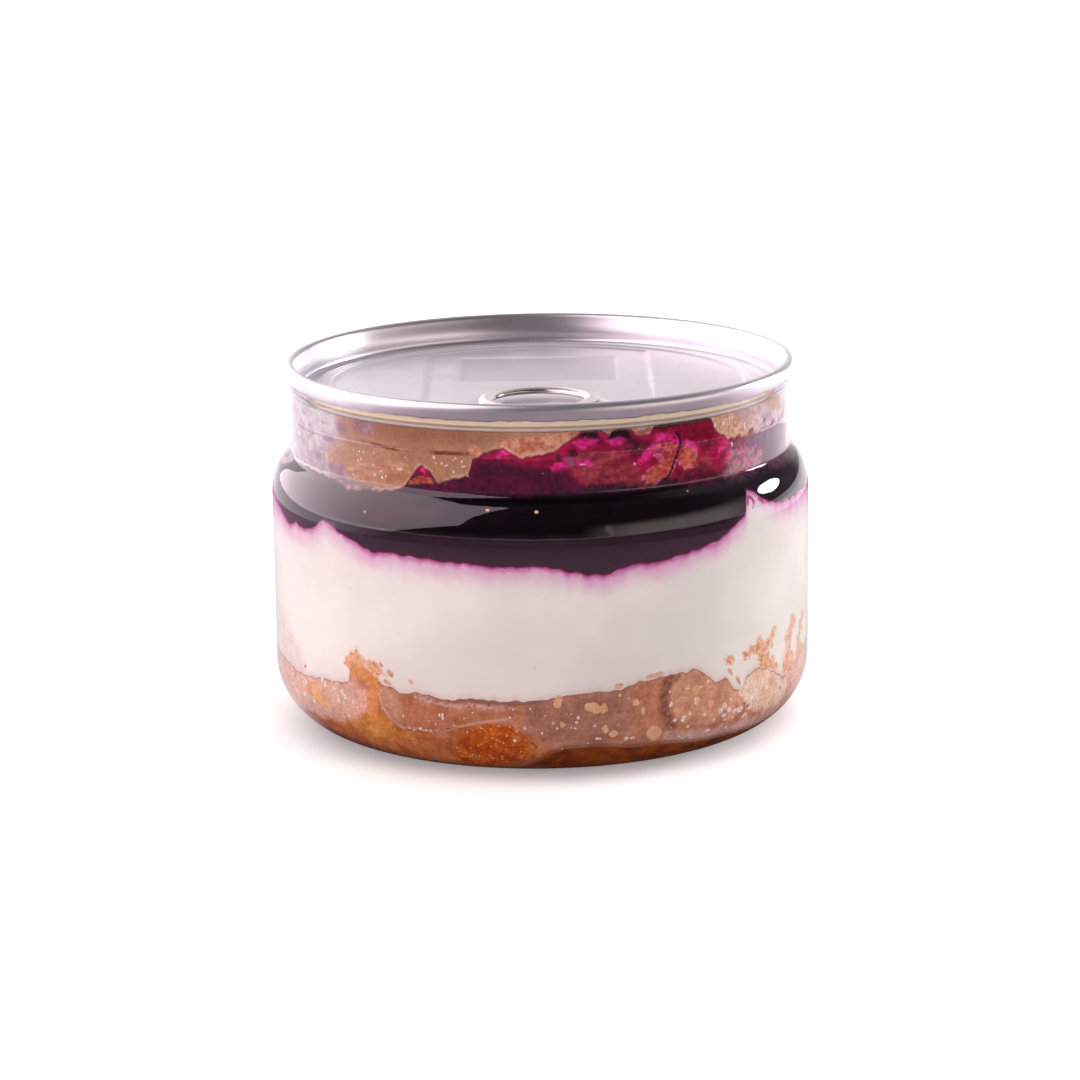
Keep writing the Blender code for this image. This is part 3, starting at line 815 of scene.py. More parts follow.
CREAM_STROKES = {
    "squiggle": (0.26, (
        ((48.6, 43.0), (49.2, 44.4), (50.2, 44.0), (50.8, 43.2), (50.0, 42.4)),
        ((52.4, 43.6), (54.0, 42.6)),
    )),
    "loose": (0.34, (
        ((-37.4, 18.6), (-36.6, 18.4)), ((-35.6, 18.7), (-35.2, 18.3)),
        ((-33.6, 17.7), (-32.6, 17.3)), ((-33.4, 17.2), (-32.8, 16.9)),
        ((-28.3, 16.5), (-27.9, 16.3)), ((-44.6, 17.3), (-43.8, 17.9)),
        ((-34.6, 15.9), (-33.4, 15.6)), ((-60.6, 14.4), (-60.2, 14.6)),
        ((42.2, 16.0), (43.0, 15.2)), ((44.6, 14.2), (45.4, 13.2)), ((15.2, 16.3), (16.2, 16.4)),
        ((22, 17.3), (25, 17.6)),
    )),
}
UPPER_REGIONS = {
    "swirl": (((-50, 50.2), (-37.8, 52.4), (-30.6, 51.9), (-28.9, 50.5), (-32, 47), (-50, 47)),),
    "film": (
        (
            (-100, 60), (-54.5, 60), (-51.5, 57), (-50, 54.6), (-55.5, 52.5), (-56, 50), (-52, 48),
            (-45, 46.6), (-44, 44), (-100, 44),
        ),
        ((70, 60), (110, 60), (110, 46), (84, 46), (74, 55)),
    ),
    "plum": (
        ((-55.4, 50.0), (-51, 49.8), (-49.4, 48.2), (-53.4, 47.6)),
        ((-61.5, 51.6), (-59, 51.4), (-59.4, 49.8), (-61.8, 50)),
        ((-57.8, 54.4), (-53.6, 54.6), (-53, 53.7), (-55.4, 53.3)),
        ((-52.9, 57.2), (-49.1, 57.4), (-47.7, 56), (-50.8, 54.9)),
        ((-56.3, 49.6), (-50, 50.4), (-48.6, 49.1), (-51, 47.9), (-55.1, 48.1)),
        ((-46.6, 58.2), (-39.8, 58.2), (-40.0, 56.9), (-42.0, 56.2), (-45.4, 56.3)),
        ((61, 56.6), (66, 57), (66, 55), (62, 54.6)),
    ),
    "mist": (
        (
            (-57, 47.8), (-49, 47.9), (-43, 47.6), (-36.2, 47.3), (-32.5, 47.3), (-40.1, 46.5),
            (-44.3, 45.4), (-49.5, 46.4),
        ),
    ),
    "crumbly": (
        (
            (40.4, 57.4), (41.7, 59.4), (45.8, 59.4), (52.5, 59.4), (56.1, 59.4), (56.9, 55.7),
            (56.1, 54.3), (53.1, 53.8), (49.3, 53.9), (46.9, 54.9), (43.6, 55.6), (41.5, 56.4),
        ),
        ((19.9, 59.4), (21.5, 59.4), (24.3, 59.4), (24.4, 57), (22.6, 56.5), (21.5, 56.9)),
        ((12.7, 59.4), (15.4, 59.4), (14.3, 57.1)),
        ((59, 56.5), (63.5, 56.5), (66.8, 54.8), (60.9, 55.1)),
    ),
    "veil": (((56.1, 59.4), (65.5, 56.8), (78.8, 55), (78.8, 52.5), (67.8, 53), (56.7, 53.6)),),
    "shade": (((-48, 58.8), (-20, 58.8), (-8, 57.8), (-14, 56.2), (-30, 55.8), (-46, 55.8)),),
    "rusty": (
        (
            (-9.6, 56.2), (-7, 57.0), (-1, 57.4), (8.6, 58.6), (5.4, 55.8), (0, 54), (-5.6, 54),
            (-8.4, 55.2),
        ),
        ((-15.6, 55.8), (-13, 55.9), (-13, 54.4), (-15.6, 53.6)),
    ),
}
UPPER_STROKES = {
    "seam": (0.3, (((-44, 54.9), (-40.1, 54.7), (-33.1, 54.35), (-25.5, 54.4), (-15.2, 54.6)),)),
    "stain": (0.34, (
        ((55.0, 54.3), (56.2, 54.5)), ((50, 54.0), (50.8, 54.2)), ((66, 54.2), (67.4, 54.5)),
        ((74, 54.4), (77, 55.6)), ((61.4, 55.2), (62, 55.4)),
    )),
}
JAM_REGIONS = {
    "deep": (
        (
            (-26, 50.4), (-23, 49.6), (-15.8, 51), (-15, 53.6), (-11, 54), (-4, 53.2), (2, 52.6),
            (7, 51.6), (9, 48.4), (-26, 48),
        ),
    ),
    "glow": (
        ((-29.6, 50.6), (-28.3, 51.8), (-26.8, 53), (-25, 51.6), (-24.6, 50.6)),
        (
            (-15, 54.6), (-8, 56.4), (8, 59), (42, 59), (56, 54), (56, 48.6), (38, 49), (22, 49.6),
            (6, 50), (-8, 50.8), (-15, 51.4),
        ),
    ),
    "crimson": (
        (
            (7.9, 57.6), (15.2, 57.6), (20.1, 57), (23, 56.1), (19.9, 55.3), (14.5, 55.9),
            (9.9, 55.1), (8.1, 54.4),
        ),
    ),
    "brown": (
        (
            (7.7, 54.4), (11.1, 54.8), (16.7, 54.3), (19.8, 53.2), (22.2, 51.7), (25.4, 48.9),
            (23, 48.5), (17.5, 49.5), (9.9, 50.1), (7.1, 51.6), (7.1, 53),
        ),
        ((33, 51.2), (41, 52.6), (42.5, 49.4), (33, 48.8)),
    ),
    "maroon": (
        (
            (18.1, 56.1), (21.5, 56.6), (25.5, 56.1), (25.1, 54.6), (21.8, 53.3), (19.3, 54.1),
            (18.1, 55.2),
        ),
        (
            (32.1, 47.8), (33, 49.1), (34.5, 49.9), (36.9, 50.1), (39, 50.1), (42, 49.9),
            (43.4, 47.9), (42.7, 47.4), (37.9, 47.5),
        ),
    ),
    "red": (
        (
            (24.5, 59.4), (28, 59.4), (34.2, 59.4), (40.7, 59.4), (42.1, 56.9), (42.9, 55.3),
            (43, 53.6), (38.9, 53.3), (36.5, 54.5), (33.5, 55.4), (32.7, 56.4), (29.7, 57.3),
            (26.3, 57.1), (25.1, 56.4),
        ),
    ),
    "ember": (
        (
            (-30.4, 49), (-28.7, 49.9), (-27.4, 50.4), (-25.7, 50.2), (-24.1, 49.7), (-24.8, 49.3),
            (-26.4, 49.4), (-28.4, 49),
        ),
    ),
    "clot": (
        ((21, 55.7), (21.9, 55.9), (22.3, 55.3), (21.5, 54.9)),
        ((3.2, 54.4), (4.3, 54.9), (4.8, 53.9), (4, 53.1)),
        ((5.8, 55.2), (7.6, 55.5), (8.1, 54.5), (6.7, 53.9)),
    ),
    # Bright pink spots: painted highlights
    "hot": (
        (
            (7.5, 56.6), (8.4, 57.4), (11.8, 57.5), (13.2, 57.0), (12.0, 56.3), (9.6, 55.7),
            (8.1, 55.9),
        ),
        ((14.6, 56.9), (16.7, 57.5), (19.4, 57.2), (19.0, 56.5), (17.7, 55.9), (15.6, 55.9)),
        (
            (26.2, 55.7), (26.8, 56.7), (29.3, 56.8), (31.7, 56.5), (32.6, 55.3), (32.4, 54.4),
            (31.3, 55.2), (29.3, 55.7), (27.4, 55.5), (26.5, 55.1),
        ),
        ((7.7, 53), (11, 53.4), (11.9, 52.8), (8.4, 52.5)),
        ((2.4, 52.5), (4.7, 53.4), (5.9, 52.4), (3.3, 51.9)),
        ((25.1, 55.1), (26.2, 55.3), (25.5, 53.4), (23, 52.2), (20.6, 52.2), (23, 53.3)),
        ((33.2, 54.7), (34.4, 55.2), (36.5, 54.5), (37.7, 53.4), (36.7, 53.5), (34.9, 54.5)),
        ((43.1, 53.6), (46.9, 53.8), (47.5, 52.7), (43.7, 52.5)),
        ((-27.6, 51.2), (-26.8, 52.0), (-26.0, 51.6), (-26.2, 51.0)),
        ((-9.8, 54.7), (-7.9, 55.8), (-6.1, 54.7), (-9.4, 54.1)),
    ),
    "caught_cake": (
        (
            (25.6, 54.2), (26.7, 55.2), (29.3, 55.3), (31.6, 54.6), (32, 53.4), (31.1, 52.3),
            (28.8, 52.2), (26.9, 52.7), (25.7, 53.4),
        ),
        (
            (23.2, 49.9), (24, 51), (26.3, 51.7), (28, 52.5), (30.6, 52.6), (31.1, 51),
            (29.7, 49.6), (27.1, 49.1), (25, 48.7), (23.6, 49),
        ),
        (
            (32.7, 53.6), (34.4, 54.5), (36.5, 53.9), (37.4, 52.8), (37.2, 51.2), (36.2, 50.4),
            (34.1, 50.3), (32.9, 50.9), (32.4, 52.3),
        ),
    ),
    "hollow": (
        ((26.1, 54), (27.1, 54.4), (28.9, 54.5), (28.6, 53.7), (27.3, 53.2)),
        ((34.2, 54.7), (35.6, 54.7), (36.6, 54.1), (36.8, 53.5), (35.4, 54)),
    ),
    "lilac": (((5.3, 53.8), (6.6, 54.2), (7.7, 53.5), (7.2, 52.6), (5.8, 52.6)),),
    "berry": (
        (
            (7.6, 56.9), (8.6, 57.8), (9.6, 58.6), (11.6, 58.6), (12.6, 57.9), (13.5, 56.9),
            (11.9, 56.8), (10, 57.1),
        ),
        (
            (14.7, 56.8), (15.6, 57.7), (16.6, 58.5), (18.8, 58.5), (19.9, 57.7), (20.6, 56.6),
            (19.6, 56.5), (17.6, 56.9), (15.8, 56.7),
        ),
        ((62, 52), (67, 52.6), (68, 49.4), (62.6, 49)),
    ),
    "film": (
        (
            (46.4, 50.6), (47.6, 52.6), (56, 53.4), (78, 56), (100, 56), (100, 46.6), (58, 47.2),
            (45.6, 47.4),
        ),
    ),
    "crumb_film": (
        (
            (42.5, 51.6), (44.1, 52.1), (48.7, 51.9), (56.7, 51.4), (60.9, 50.2), (59.9, 48.1),
            (54.8, 47.7), (47.8, 47.5), (43.9, 47.4), (43.3, 48.6),
        ),
    ),
    "lit": (
        (
            (-76, 46.8), (-52, 46.2), (-30, 46.6), (-20, 45.8), (-24, 43.4), (-40, 42.2),
            (-60, 42.4), (-76, 43.2),
        ),
    ),
    # Greyish patches at the wall, where bubbles sit: painted sheen
    "bubble_sheen": (
        ((13.2, 43.2), (14.6, 43), (15.2, 41.8), (14.4, 41.4), (13.2, 42.2)),
        ((-53, 40.6), (-48, 41.4), (-47, 40.4), (-52, 39.6)),
    ),
}
JAM_STROKES = {
    "thread": (0.26, (
        (
            (31.4, 56.8), (32.5, 56), (32.7, 54.7), (31.7, 52.9), (30.8, 51.6), (29.9, 49.9),
            (28.6, 49.1),
        ),
        ((25.4, 58), (33, 58.3), (40, 58.2)), ((50.9, 44.9), (52.0, 43.9), (51.1, 43.2)),
    )),
}


def follow(points, line):
    """Lay a measured stretch of line over a line of bearings, easing in at its ends."""
    bearings, heights = zip(*points)
    out = step(BEARINGS, bearings[-1] - EASE_IN, bearings[-1])
    share = step(BEARINGS, bearings[0], bearings[0] + EASE_IN) * (1.0 - out)
    return line + (np.interp(BEARINGS, bearings, heights) - line) * share


def low_cake_line():
    """Height of the lower cake's edge at each bearing."""
    return follow(FRONT_CAKE_LINE, LOW_CAKE_Z + lobes(LOW_CAKE_ROWS)) + 0.14 * ripple(3, 40, 170)


def cream_line():
    """Height of the cream's upper edge, which climbs towards the back."""
    rise = 2.4 * (1.0 - np.cos(np.radians(BEARINGS)))
    return follow(FRONT_CREAM_LINE, CREAM_Z + rise + lobes(CREAM_ROWS)) + 0.12 * ripple(5, 40, 150)


def jam_line():
    """Height of the jam's upper edge."""
    line = follow(FRONT_JAM_LINE, 47.6 + lobes(JAM_ROWS)) + 0.14 * ripple(7, 50, 170)
    return np.minimum(line, FILM_TOP_Z + 1.2)


def paint_regions(thing, closed, strokes, z, spread):
    """Paint every named region and brush stroke of a layer on its mesh."""
    for name, outlines in closed.items():
        paint(thing, name, spread(regions(all_round(outlines), BEARINGS, z)))
    for name, (half, lines) in strokes.items():
        paint(thing, name, spread(regions(all_round(lines), BEARINGS, z, half)))


def wall_line(reach=REACH, steps=24):
    """The jar's inner wall from the foot up as length, r and z, pushed into the plastic."""
    heel = (BODY_R - WALL - FOOT_R + reach, HEEL_Z - WALL + reach)
    shoulder = (BODY_R - WALL - SHOULDER_R + reach, SHOULDER_RISE - WALL + reach)
    points = [
        (FOOT_INNER_R, WALL - reach), *arc((FOOT_R, HEEL_Z), heel, -90, 0, steps),
        *arc((SHOULDER_R, SHOULDER_Z), shoulder, 0, 78, steps),
        (NECK_INNER_R + reach, CREASE_Z + 0.8), (NECK_INNER_R + reach, FILM_TOP_Z + 1.3),
    ]
    r, z = (np.array(axis) for axis in zip(*points))
    length = np.concatenate([[0.0], np.cumsum(np.hypot(np.diff(r), np.diff(z)))])
    return length, r, z


WALL_LENGTH, WALL_R, WALL_Z = wall_line()


def wall_radius(z):
    """Radius of the food's outer face at a height."""
    return np.interp(z, WALL_Z[1:], WALL_R[1:])


def layer(name, low, high, inside_low, inside_high, rows, finish, slot, recess=None):
    """A closed layer pressed to the wall, between two edge lines or from the floor up.

    Gives the object, the heights of its wall rows, and the function that spreads values of
    those rows over the whole mesh.
    """
    along = np.linspace(0.0, 1.0, rows)[:, None]
    top_length = np.interp(high, WALL_Z[1:], WALL_LENGTH[1:])
    if low is None:
        low_length = np.zeros(COLUMNS)
    else:
        low_length = np.interp(low, WALL_Z[1:], WALL_LENGTH[1:])
    ease = along - 0.12 * np.sin(2 * np.pi * along)
    length = low_length + (top_length - low_length) * ease
    r = np.interp(length, WALL_LENGTH, WALL_R)
    z = np.interp(length, WALL_LENGTH, WALL_Z)
    if recess is not None:
        r = r - recess(z)
    wall = [ring(BEARINGS, r[i], z[i]) for i in range(rows)]

    def inward(edge, edge_r, inside):
        """Rows from the wall towards the middle, which keep clear of the lid."""
        under_lid = np.minimum(edge, FOOD_TOP_Z)
        made = [
            ring(BEARINGS, np.minimum(CHUCK_R + SHEET + gap, edge_r - 0.02), height)
            for gap, height in ((0.08, edge), (0.03, under_lid))
        ]
        for share in (0.992, 0.95, 0.86, 0.7, 0.45, 0.2):
            height = inside + (under_lid - inside) * step(share, 0.55, 1.0)
            made.append(ring(BEARINGS, np.minimum(edge_r, CHUCK_R) * share, height))
        return made

    upper = inward(z[-1], r[-1], inside_high)
    if low is None:
        floor_z = WALL - REACH
        lower = [
            ring(BEARINGS, PUSH_UP_R, PUSH_UP_Z + floor_z),
            ring(BEARINGS, 15.0, 0.5 * (PUSH_UP_Z + PUSH_UP_TOP_Z) + floor_z),
        ]
        low_point = (0.0, 0.0, PUSH_UP_TOP_Z + floor_z)
    else:
        lower = inward(z[0], r[0], inside_low)
        low_point = (0.0, 0.0, inside_low)
    rings = [*reversed(upper), *reversed(wall), *lower]
    thing = turned_body(name, rings, COLUMNS, (0.0, 0.0, inside_high), low_point, [finish], slot)

    def spread(values):
        """Values of the wall rows, from the foot up, in the order of the mesh's points."""
        values = np.broadcast_to(values, (rows, COLUMNS))[::-1]
        inner_top = np.repeat(values[:1], len(upper), 0)
        inner_low = np.repeat(values[-1:], len(lower), 0)
        return np.concatenate([inner_top, values, inner_low]).ravel()

    return thing, z, spread


# ------------------------------------------------------------------ lumps on the wall


def wall_lumps(name, rows, finishes, slot, seed, sides=18, rings=9, uneven=0.16):
    """Uneven flat lumps pressed to the wall: (bearing, z, half width, half height, proud) each."""
    chance = np.random.default_rng(seed)
    corners = []
    faces = []
    tones = []
    rims = []
    around = np.arange(sides) * (2 * math.pi / sides)
    for bearing, z, half_width, half_height, proud in rows:
        first = len(corners)
        waves = [
            (n, chance.uniform(0, 2 * math.pi), chance.normal(0, uneven / n))
            for n in (2, 3, 4, 5, 7)
        ]
        outline = 1.0 + sum(size * np.sin(n * around + phase) for n, phase, size in waves)
        lean = chance.uniform(-0.5, 0.5)
        tone = chance.uniform(0, 1)
        for i in range(1, rings):
            polar = math.pi * i / rings
            reach = math.sin(polar) ** 0.6 * outline
            depth = math.cos(polar) * proud
            across = reach * np.cos(around + lean) * half_width
            up = reach * np.sin(around + lean) * half_height
            height = z + up
            radius = wall_radius(height) + depth
            x, y = circle_points(bearing + np.degrees(across / radius), radius)
            corners += list(zip(x, y, height))
            rims += [math.sin(polar)] * sides
        radius = wall_radius(z)
        for depth in (proud, -proud):
            x, y = circle_points(bearing, radius + depth)
            corners.append((float(x), float(y), z))
            rims.append(0.0)
        top, bottom = len(corners) - 2, len(corners) - 1
        faces += ring_faces(rings - 1, sides, first)
        faces += cap_faces(top, bottom, first, first + (rings - 2) * sides, sides)
        tones += [tone] * (len(corners) - first)
    thing = new_piece(name, corners, faces, finishes, slot)
    paint(thing, "tone", tones)
    paint(thing, "rim", rims)
    return thing


# ------------------------------------------------------------------ finishes


def jar_finish(settings):
    """Clear blown plastic with faint flow waves, which lamps shine through."""
    finish = Finish("clear plastic")
    finish.base = settings.tint
    wave = finish.noise(9.0, 2.0, vector=finish.stretched((1.0, 1.0, 0.35)))
    finish.done(
        wave, settings.flow * 6.0, 0.35,
        Roughness=settings.roughness, IOR=1.53, Transmission_Weight=1.0,
    )
    lamps = finish.node("ShaderNodeLightPath", output="Is Shadow Ray")
    clear = finish.node("ShaderNodeBsdfTransparent", None, {0: (0.97, 0.965, 0.97)})
    finish.surface(lamps, Wire(finish, finish.shader.outputs[0]), clear)
    return finish.material


def rolled_marks(finish, size, seed=0.0):
    """Fine lines round the axis, as rolling and seaming leave them: 0 to 1."""
    place = finish.place()
    radius = finish.vector_maths("LENGTH", finish.stretched((1, 1, 0)), output="Value")
    line = finish.node("ShaderNodeCombineXYZ", None, {0: radius, 1: finish.axis(place, 2), 2: 0.0})
    return finish.noise(size, 4.0, 0.7, seed, line)


def metal_finish(name, colour, roughness, marks, seed=0.0, metallic=0.9, plate=False):
    """Bright sheet aluminium with fine round marks and a soft unevenness."""
    finish = Finish(name)
    lines = rolled_marks(finish, marks, seed)
    cloud = finish.noise(6.0, 3.0, 0.5, seed + 3.0)
    finish.base = (lines * 0.5 + cloud * 0.5).tones(shade(colour, 0.86), colour)
    if plate:
        x, y, z = (finish.axis(finish.place(), index) * 1000.0 for index in range(3))
        inside = x.size().below(PLATE_HALF - 0.6, PLATE_HALF + 0.4) * z.above(57.5, 57.6)
        inside = inside * (y - PLATE_Y).size().below(PLATE_DEEP - 0.6, PLATE_DEEP + 0.4)
        finish.coat(inside * z.below(59.0, 59.1) * 0.42, shade(colour, 0.62))
    return finish.done(
        lines * 0.6 + cloud * 0.8, 0.02, 0.5,
        Metallic=metallic, Roughness=roughness + lines * 0.10 + cloud * 0.06,
    )


def lacquer_finish(colour):
    """Gold lacquer on the lid's food side, with painted shadow low down and a pale painted highlight
    under it.
    """
    finish = Finish("gold lacquer")
    cloud = finish.noise(4.0, 3.0, 0.5, 8.0)
    tone = rolled_marks(finish, 0.5, 2.0) * 0.5 + cloud * 0.5
    finish.base = tone.tones(colour, shade(colour, 1.22))
    height = finish.axis(finish.place(), 2) * 1000.0 + cloud.sway(0.12)
    # Painted shadow: a dark brown band in the gap low on the lid's wall
    finish.coat(height.below(59.0, 59.25) * 0.9, (0.36, 0.17, 0.065))
    # Painted highlight: a pale line where the groove's edge catches the light
    finish.coat(height.below(58.62, 58.72), (0.90, 0.82, 0.80))
    return finish.done(
        cloud, 0.03, 0.5, Metallic=0.1, Roughness=0.35 + cloud * 0.15, Coat_Weight=0.2
    )


def lower_cake_finish(settings):
    """Soaked crumb seen through the wall, with syrup pooled at its foot."""
    finish = Finish("soaked crumb")
    coat, patch, blend = finish.coat, finish.patch, finish.blend
    soft = finish.noise(3.2, 5.0, 0.62, 1.0)
    grain = finish.noise(0.7, 4.0, 0.6, 2.0)
    fine = finish.noise(0.3, 3.0, 0.6, 3.0)
    fold = finish.noise(1.7, 4.0, 0.6, 4.0, distortion=1.2)
    blotch = finish.noise(2.2, 4.0, 0.6, 5.0)
    wobble = finish.wobble = soft.sway(1.6) + grain.sway(0.7)
    height = finish.painted("height")
    pale = settings.pale_crumb
    finish.base = soft.tones(shade(settings.wet_crumb, 0.8), shade(settings.wet_crumb, 1.2))
    patch("toasted", 1.5, 0.6, soft.tones((0.36, 0.096, 0.034), (0.72, 0.25, 0.08), 0.25, 0.75))
    patch("mauve", 1.3, 1.1, soft.tones((0.37, 0.165, 0.122), (0.55, 0.255, 0.18)))
    patch("pale", 1.5, 0.7, soft.tones(pale, shade(pale, 1.35), 0.3, 0.75))
    golden = soft.tones((0.64, 0.22, 0.034), (0.80, 0.37, 0.10))
    patch("gold", 1.4, 1.4, blend(fold.above(0.5, 0.62) * 0.5, golden, (0.42, 0.11, 0.022)))
    orange = soft.tones(settings.warm_crumb, (0.80, 0.34, 0.125), 0.35, 0.65)
    orange = blend(fold.above(0.52, 0.64) * 0.5, orange, (0.66, 0.19, 0.05))
    streak = patch("streak", 1.2, 0.3, orange)
    coat(streak * (height + fold.sway(6.0)).above(16.0, 19.0) * 0.7, (0.90, 0.56, 0.33))
    patch("amber", 1.6, 0.5, (0.84, 0.50, 0.24), 0.8)
    patch("first_chunk", 0.7, 0.12, soft.tones((0.47, 0.17, 0.085), (0.62, 0.265, 0.145)))
    patch("light_side", 1.2, 1.0, (0.64, 0.37, 0.235), 0.8)
    border = finish.outline("first_chunk", wobble * 0.7, 0.1, 0.25) * 0.7
    coat(border * (1.0 - finish.within("mauve", wobble + 1.2, 0.8)), (0.76, 0.45, 0.31))
    patch("second_chunk", 0.7, 0.2, soft.tones((0.62, 0.29, 0.185), (0.84, 0.46, 0.31)))
    patch("third_chunk", 1.3, 0.6, soft.tones((0.86, 0.57, 0.42), (0.97, 0.77, 0.64)))
    border = finish.outline("third_chunk", wobble * 1.3, 0.1, 0.4)
    coat(border * grain.above(0.45, 0.6) * 0.5, (0.95, 0.86, 0.80))
    rim = grain.tones((0.17, 0.055, 0.045), (0.36, 0.15, 0.11), 0.42, 0.6)
    patch("dark_rim", 1.4, 0.5, rim, 0.8)
    film = finish.within("film", wobble * 0.6, 0.35) * grain.above(0.36, 0.56)
    coat(film * 0.8, (0.66, 0.46, 0.46))
    patch("border", 0.4, 0.3, (0.22, 0.085, 0.085), 0.7)
    grains = finish.dots(0.85, 7.0, 0.9, 0.7, 0.16, 0.36) * fold.above(0.40, 0.56)
    granular = soft.tones((0.46, 0.062, 0.004), (0.74, 0.18, 0.02), 0.35, 0.65)
    granular = blend(fold.above(0.52, 0.62) * 0.5, granular, (0.26, 0.03, 0.006))
    patch("granular", 1.4, 0.5, blend(grains, granular, (0.96, 0.46, 0.13)))
    coat(blotch.above(0.48, 0.70) * 0.28, (0.26, 0.075, 0.035))
    coat(blotch.below(0.34, 0.47) * 0.2, (0.86, 0.54, 0.38))
    patch("band", 1.2, 0.9, soft.tones((0.58, 0.32, 0.29), (0.86, 0.62, 0.57)), 0.85)
    # Dark line along the syrup's top edge: painted shadow
    coat(finish.outline("syrup", wobble * 0.5 + 0.3, 0.1, 0.5) * 0.5, (0.12, 0.05, 0.055))
    deep = soft.tones(settings.syrup, (0.36, 0.075, 0.004), 0.3, 0.68)
    syrup = patch("syrup", 0.5, 0.22, deep)
    coat(finish.within("crack", grain.sway(0.5)) * 0.85, (0.10, 0.035, 0.035))
    edge = (finish.painted("below_edge") + grain.sway(0.7)).below(0.12, 0.42)
    coat(edge * 0.5 * (1.0 - streak), (0.34, 0.17, 0.16))
    speck = finish.dots(1.0, 6.0, 0.5, 0.9, 0.06, 0.13) * fold.above(0.44, 0.54)
    coat(speck * 0.8 * (1.0 - syrup * 0.7), (0.92, 0.74, 0.62))
    # Dark pits: painted shade in small hollows, which the relief also sinks
    pit = finish.dots(2.4, 9.0, 0.6, 1.0, 0.10, 0.2) * soft.above(0.5, 0.6)
    coat(pit * 0.5, (0.12, 0.035, 0.02))
    grit = (grain * 0.5 + fine * 0.5).tones((0.85, 0.80, 0.78), (1.12, 1.14, 1.16), 0.38, 0.62)
    coat(1.0, grit, "MULTIPLY")
    coat((height + soft.sway(1.2)).below(0.5, 2.6) * 0.75, (0.15, 0.028, 0.018))
    patch("violet", 1.0, 0.5, (0.20, 0.07, 0.12), 0.6)
    return finish.done(
        soft * 0.5 + grain * 0.5 - pit * 0.6, 0.25, 0.6,
        Roughness=0.5 - syrup * 0.3, Specular_IOR_Level=0.1,
    )


def upper_cake_finish(settings):
    """Soaked crumb under the lid, with a pale film of cream and syrup where it leaves the wall."""
    finish = Finish("upper crumb")
    coat, patch, blend = finish.coat, finish.patch, finish.blend
    soft = finish.noise(3.6, 5.0, 0.6, 11.0)
    grain = finish.noise(0.6, 4.0, 0.6, 12.0)
    fine = finish.noise(0.3, 3.0, 0.6, 13.0)
    fold = finish.noise(5.0, 3.0, 0.55, 14.0, finish.stretched((0.8, 0.8, 2.2)), 1.5)
    smear = finish.noise(2.4, 4.0, 0.55, 15.0, finish.stretched((0.8, 0.8, 1.6)), 0.8)
    cloud = finish.noise(7.0, 3.0, 0.5, 17.0)
    clump = finish.noise(1.3, 5.0, 0.66, 18.0, finish.shifted(0.8, 1.5, 18.0))
    flake = finish.noise(0.9, 4.0, 0.6, 19.0, finish.shifted(1.2, 1.0, 19.0))
    finish.wobble = soft.sway(1.8) + grain.sway(0.8)
    finish.base = soft.tones(shade(settings.upper, 0.88), shade(settings.upper, 1.14))
    patch("swirl", 1.0, 0.8, fold.tones((0.48, 0.20, 0.10), (0.72, 0.42, 0.27)))
    seam = finish.within("seam", grain.sway(0.5), 0.14)
    coat(seam * soft.above(0.36, 0.52), (0.22, 0.05, 0.012))
    crumbs = clump.tones((0.52, 0.24, 0.14), (0.80, 0.50, 0.34), 0.34, 0.62)
    crumbs = blend(cloud.above(0.54, 0.62) * 0.6, crumbs, (0.54, 0.34, 0.40))
    # Near-white flecks on the crumbs: painted glints
    crumbs = blend(flake.above(0.60, 0.66) * 0.9, crumbs, (0.95, 0.86, 0.84))
    crumbs = blend(flake.below(0.32, 0.38) * 0.6, crumbs, (0.30, 0.07, 0.10))
    patch("crumbly", 1.0, 0.3, crumbs)
    veil = clump.tones((0.46, 0.27, 0.36), (0.76, 0.60, 0.68), 0.36, 0.62)
    patch("veil", 1.0, 0.6, veil, 0.85)
    patch("shade", 1.0, 1.0, (0.34, 0.13, 0.062), 0.55)
    rusty = clump.tones((0.56, 0.18, 0.09), (0.84, 0.44, 0.28), 0.36, 0.62)
    # Pale pink flecks in the rusty crumb: painted glints
    patch("rusty", 1.2, 0.5, blend(flake.above(0.60, 0.68) * 0.6, rusty, (0.92, 0.50, 0.50)))
    haze = cloud.tones((0.50, 0.39, 0.46), (0.65, 0.60, 0.63), 0.34, 0.60)
    haze = blend(smear.above(0.50, 0.64) * 0.8, haze, (0.74, 0.73, 0.73))
    haze = blend(smear.below(0.36, 0.46) * 0.7, haze, (0.38, 0.26, 0.37))
    coat(finish.within("film", finish.wobble * 1.6 + cloud.sway(4.0), 1.8) * 0.92, haze)
    mist = smear.tones((0.13, 0.07, 0.09), (0.27, 0.165, 0.185), 0.4, 0.6)
    patch("mist", 0.8, 0.5, mist, 0.9)
    plum = soft.tones((0.24, 0.10, 0.19), (0.46, 0.28, 0.40), 0.35, 0.65)
    patch("plum", 1.5, 0.8, plum, 0.8)
    coat(finish.within("stain", grain.sway(0.8), 0.15), (0.20, 0.01, 0.05))
    grit = (grain * 0.5 + fine * 0.5).tones((0.87, 0.83, 0.80), (1.10, 1.12, 1.14), 0.38, 0.62)
    coat(1.0, grit, "MULTIPLY")
    white = finish.dots(1.1, 16.0, 0.4, 0.7, 0.045, 0.095)
    coat(white * clump.above(0.46, 0.56) * 0.8, (0.92, 0.80, 0.74))
    rise = finish.painted("above_edge") + grain.sway(0.6)
    edge = rise.below(0.08, 0.36)
    coat(edge * 0.75, (0.16, 0.02, 0.03))
    lip = soft.above(0.45, 0.56) * rise.below(0.5, 0.9) * (1.0 - edge)
    coat(lip * 0.45, (0.86, 0.60, 0.50))
    return finish.done(
        soft * 0.6 + grain * 0.4, 0.3, 0.7, Roughness=0.45, Specular_IOR_Level=0.08
    )


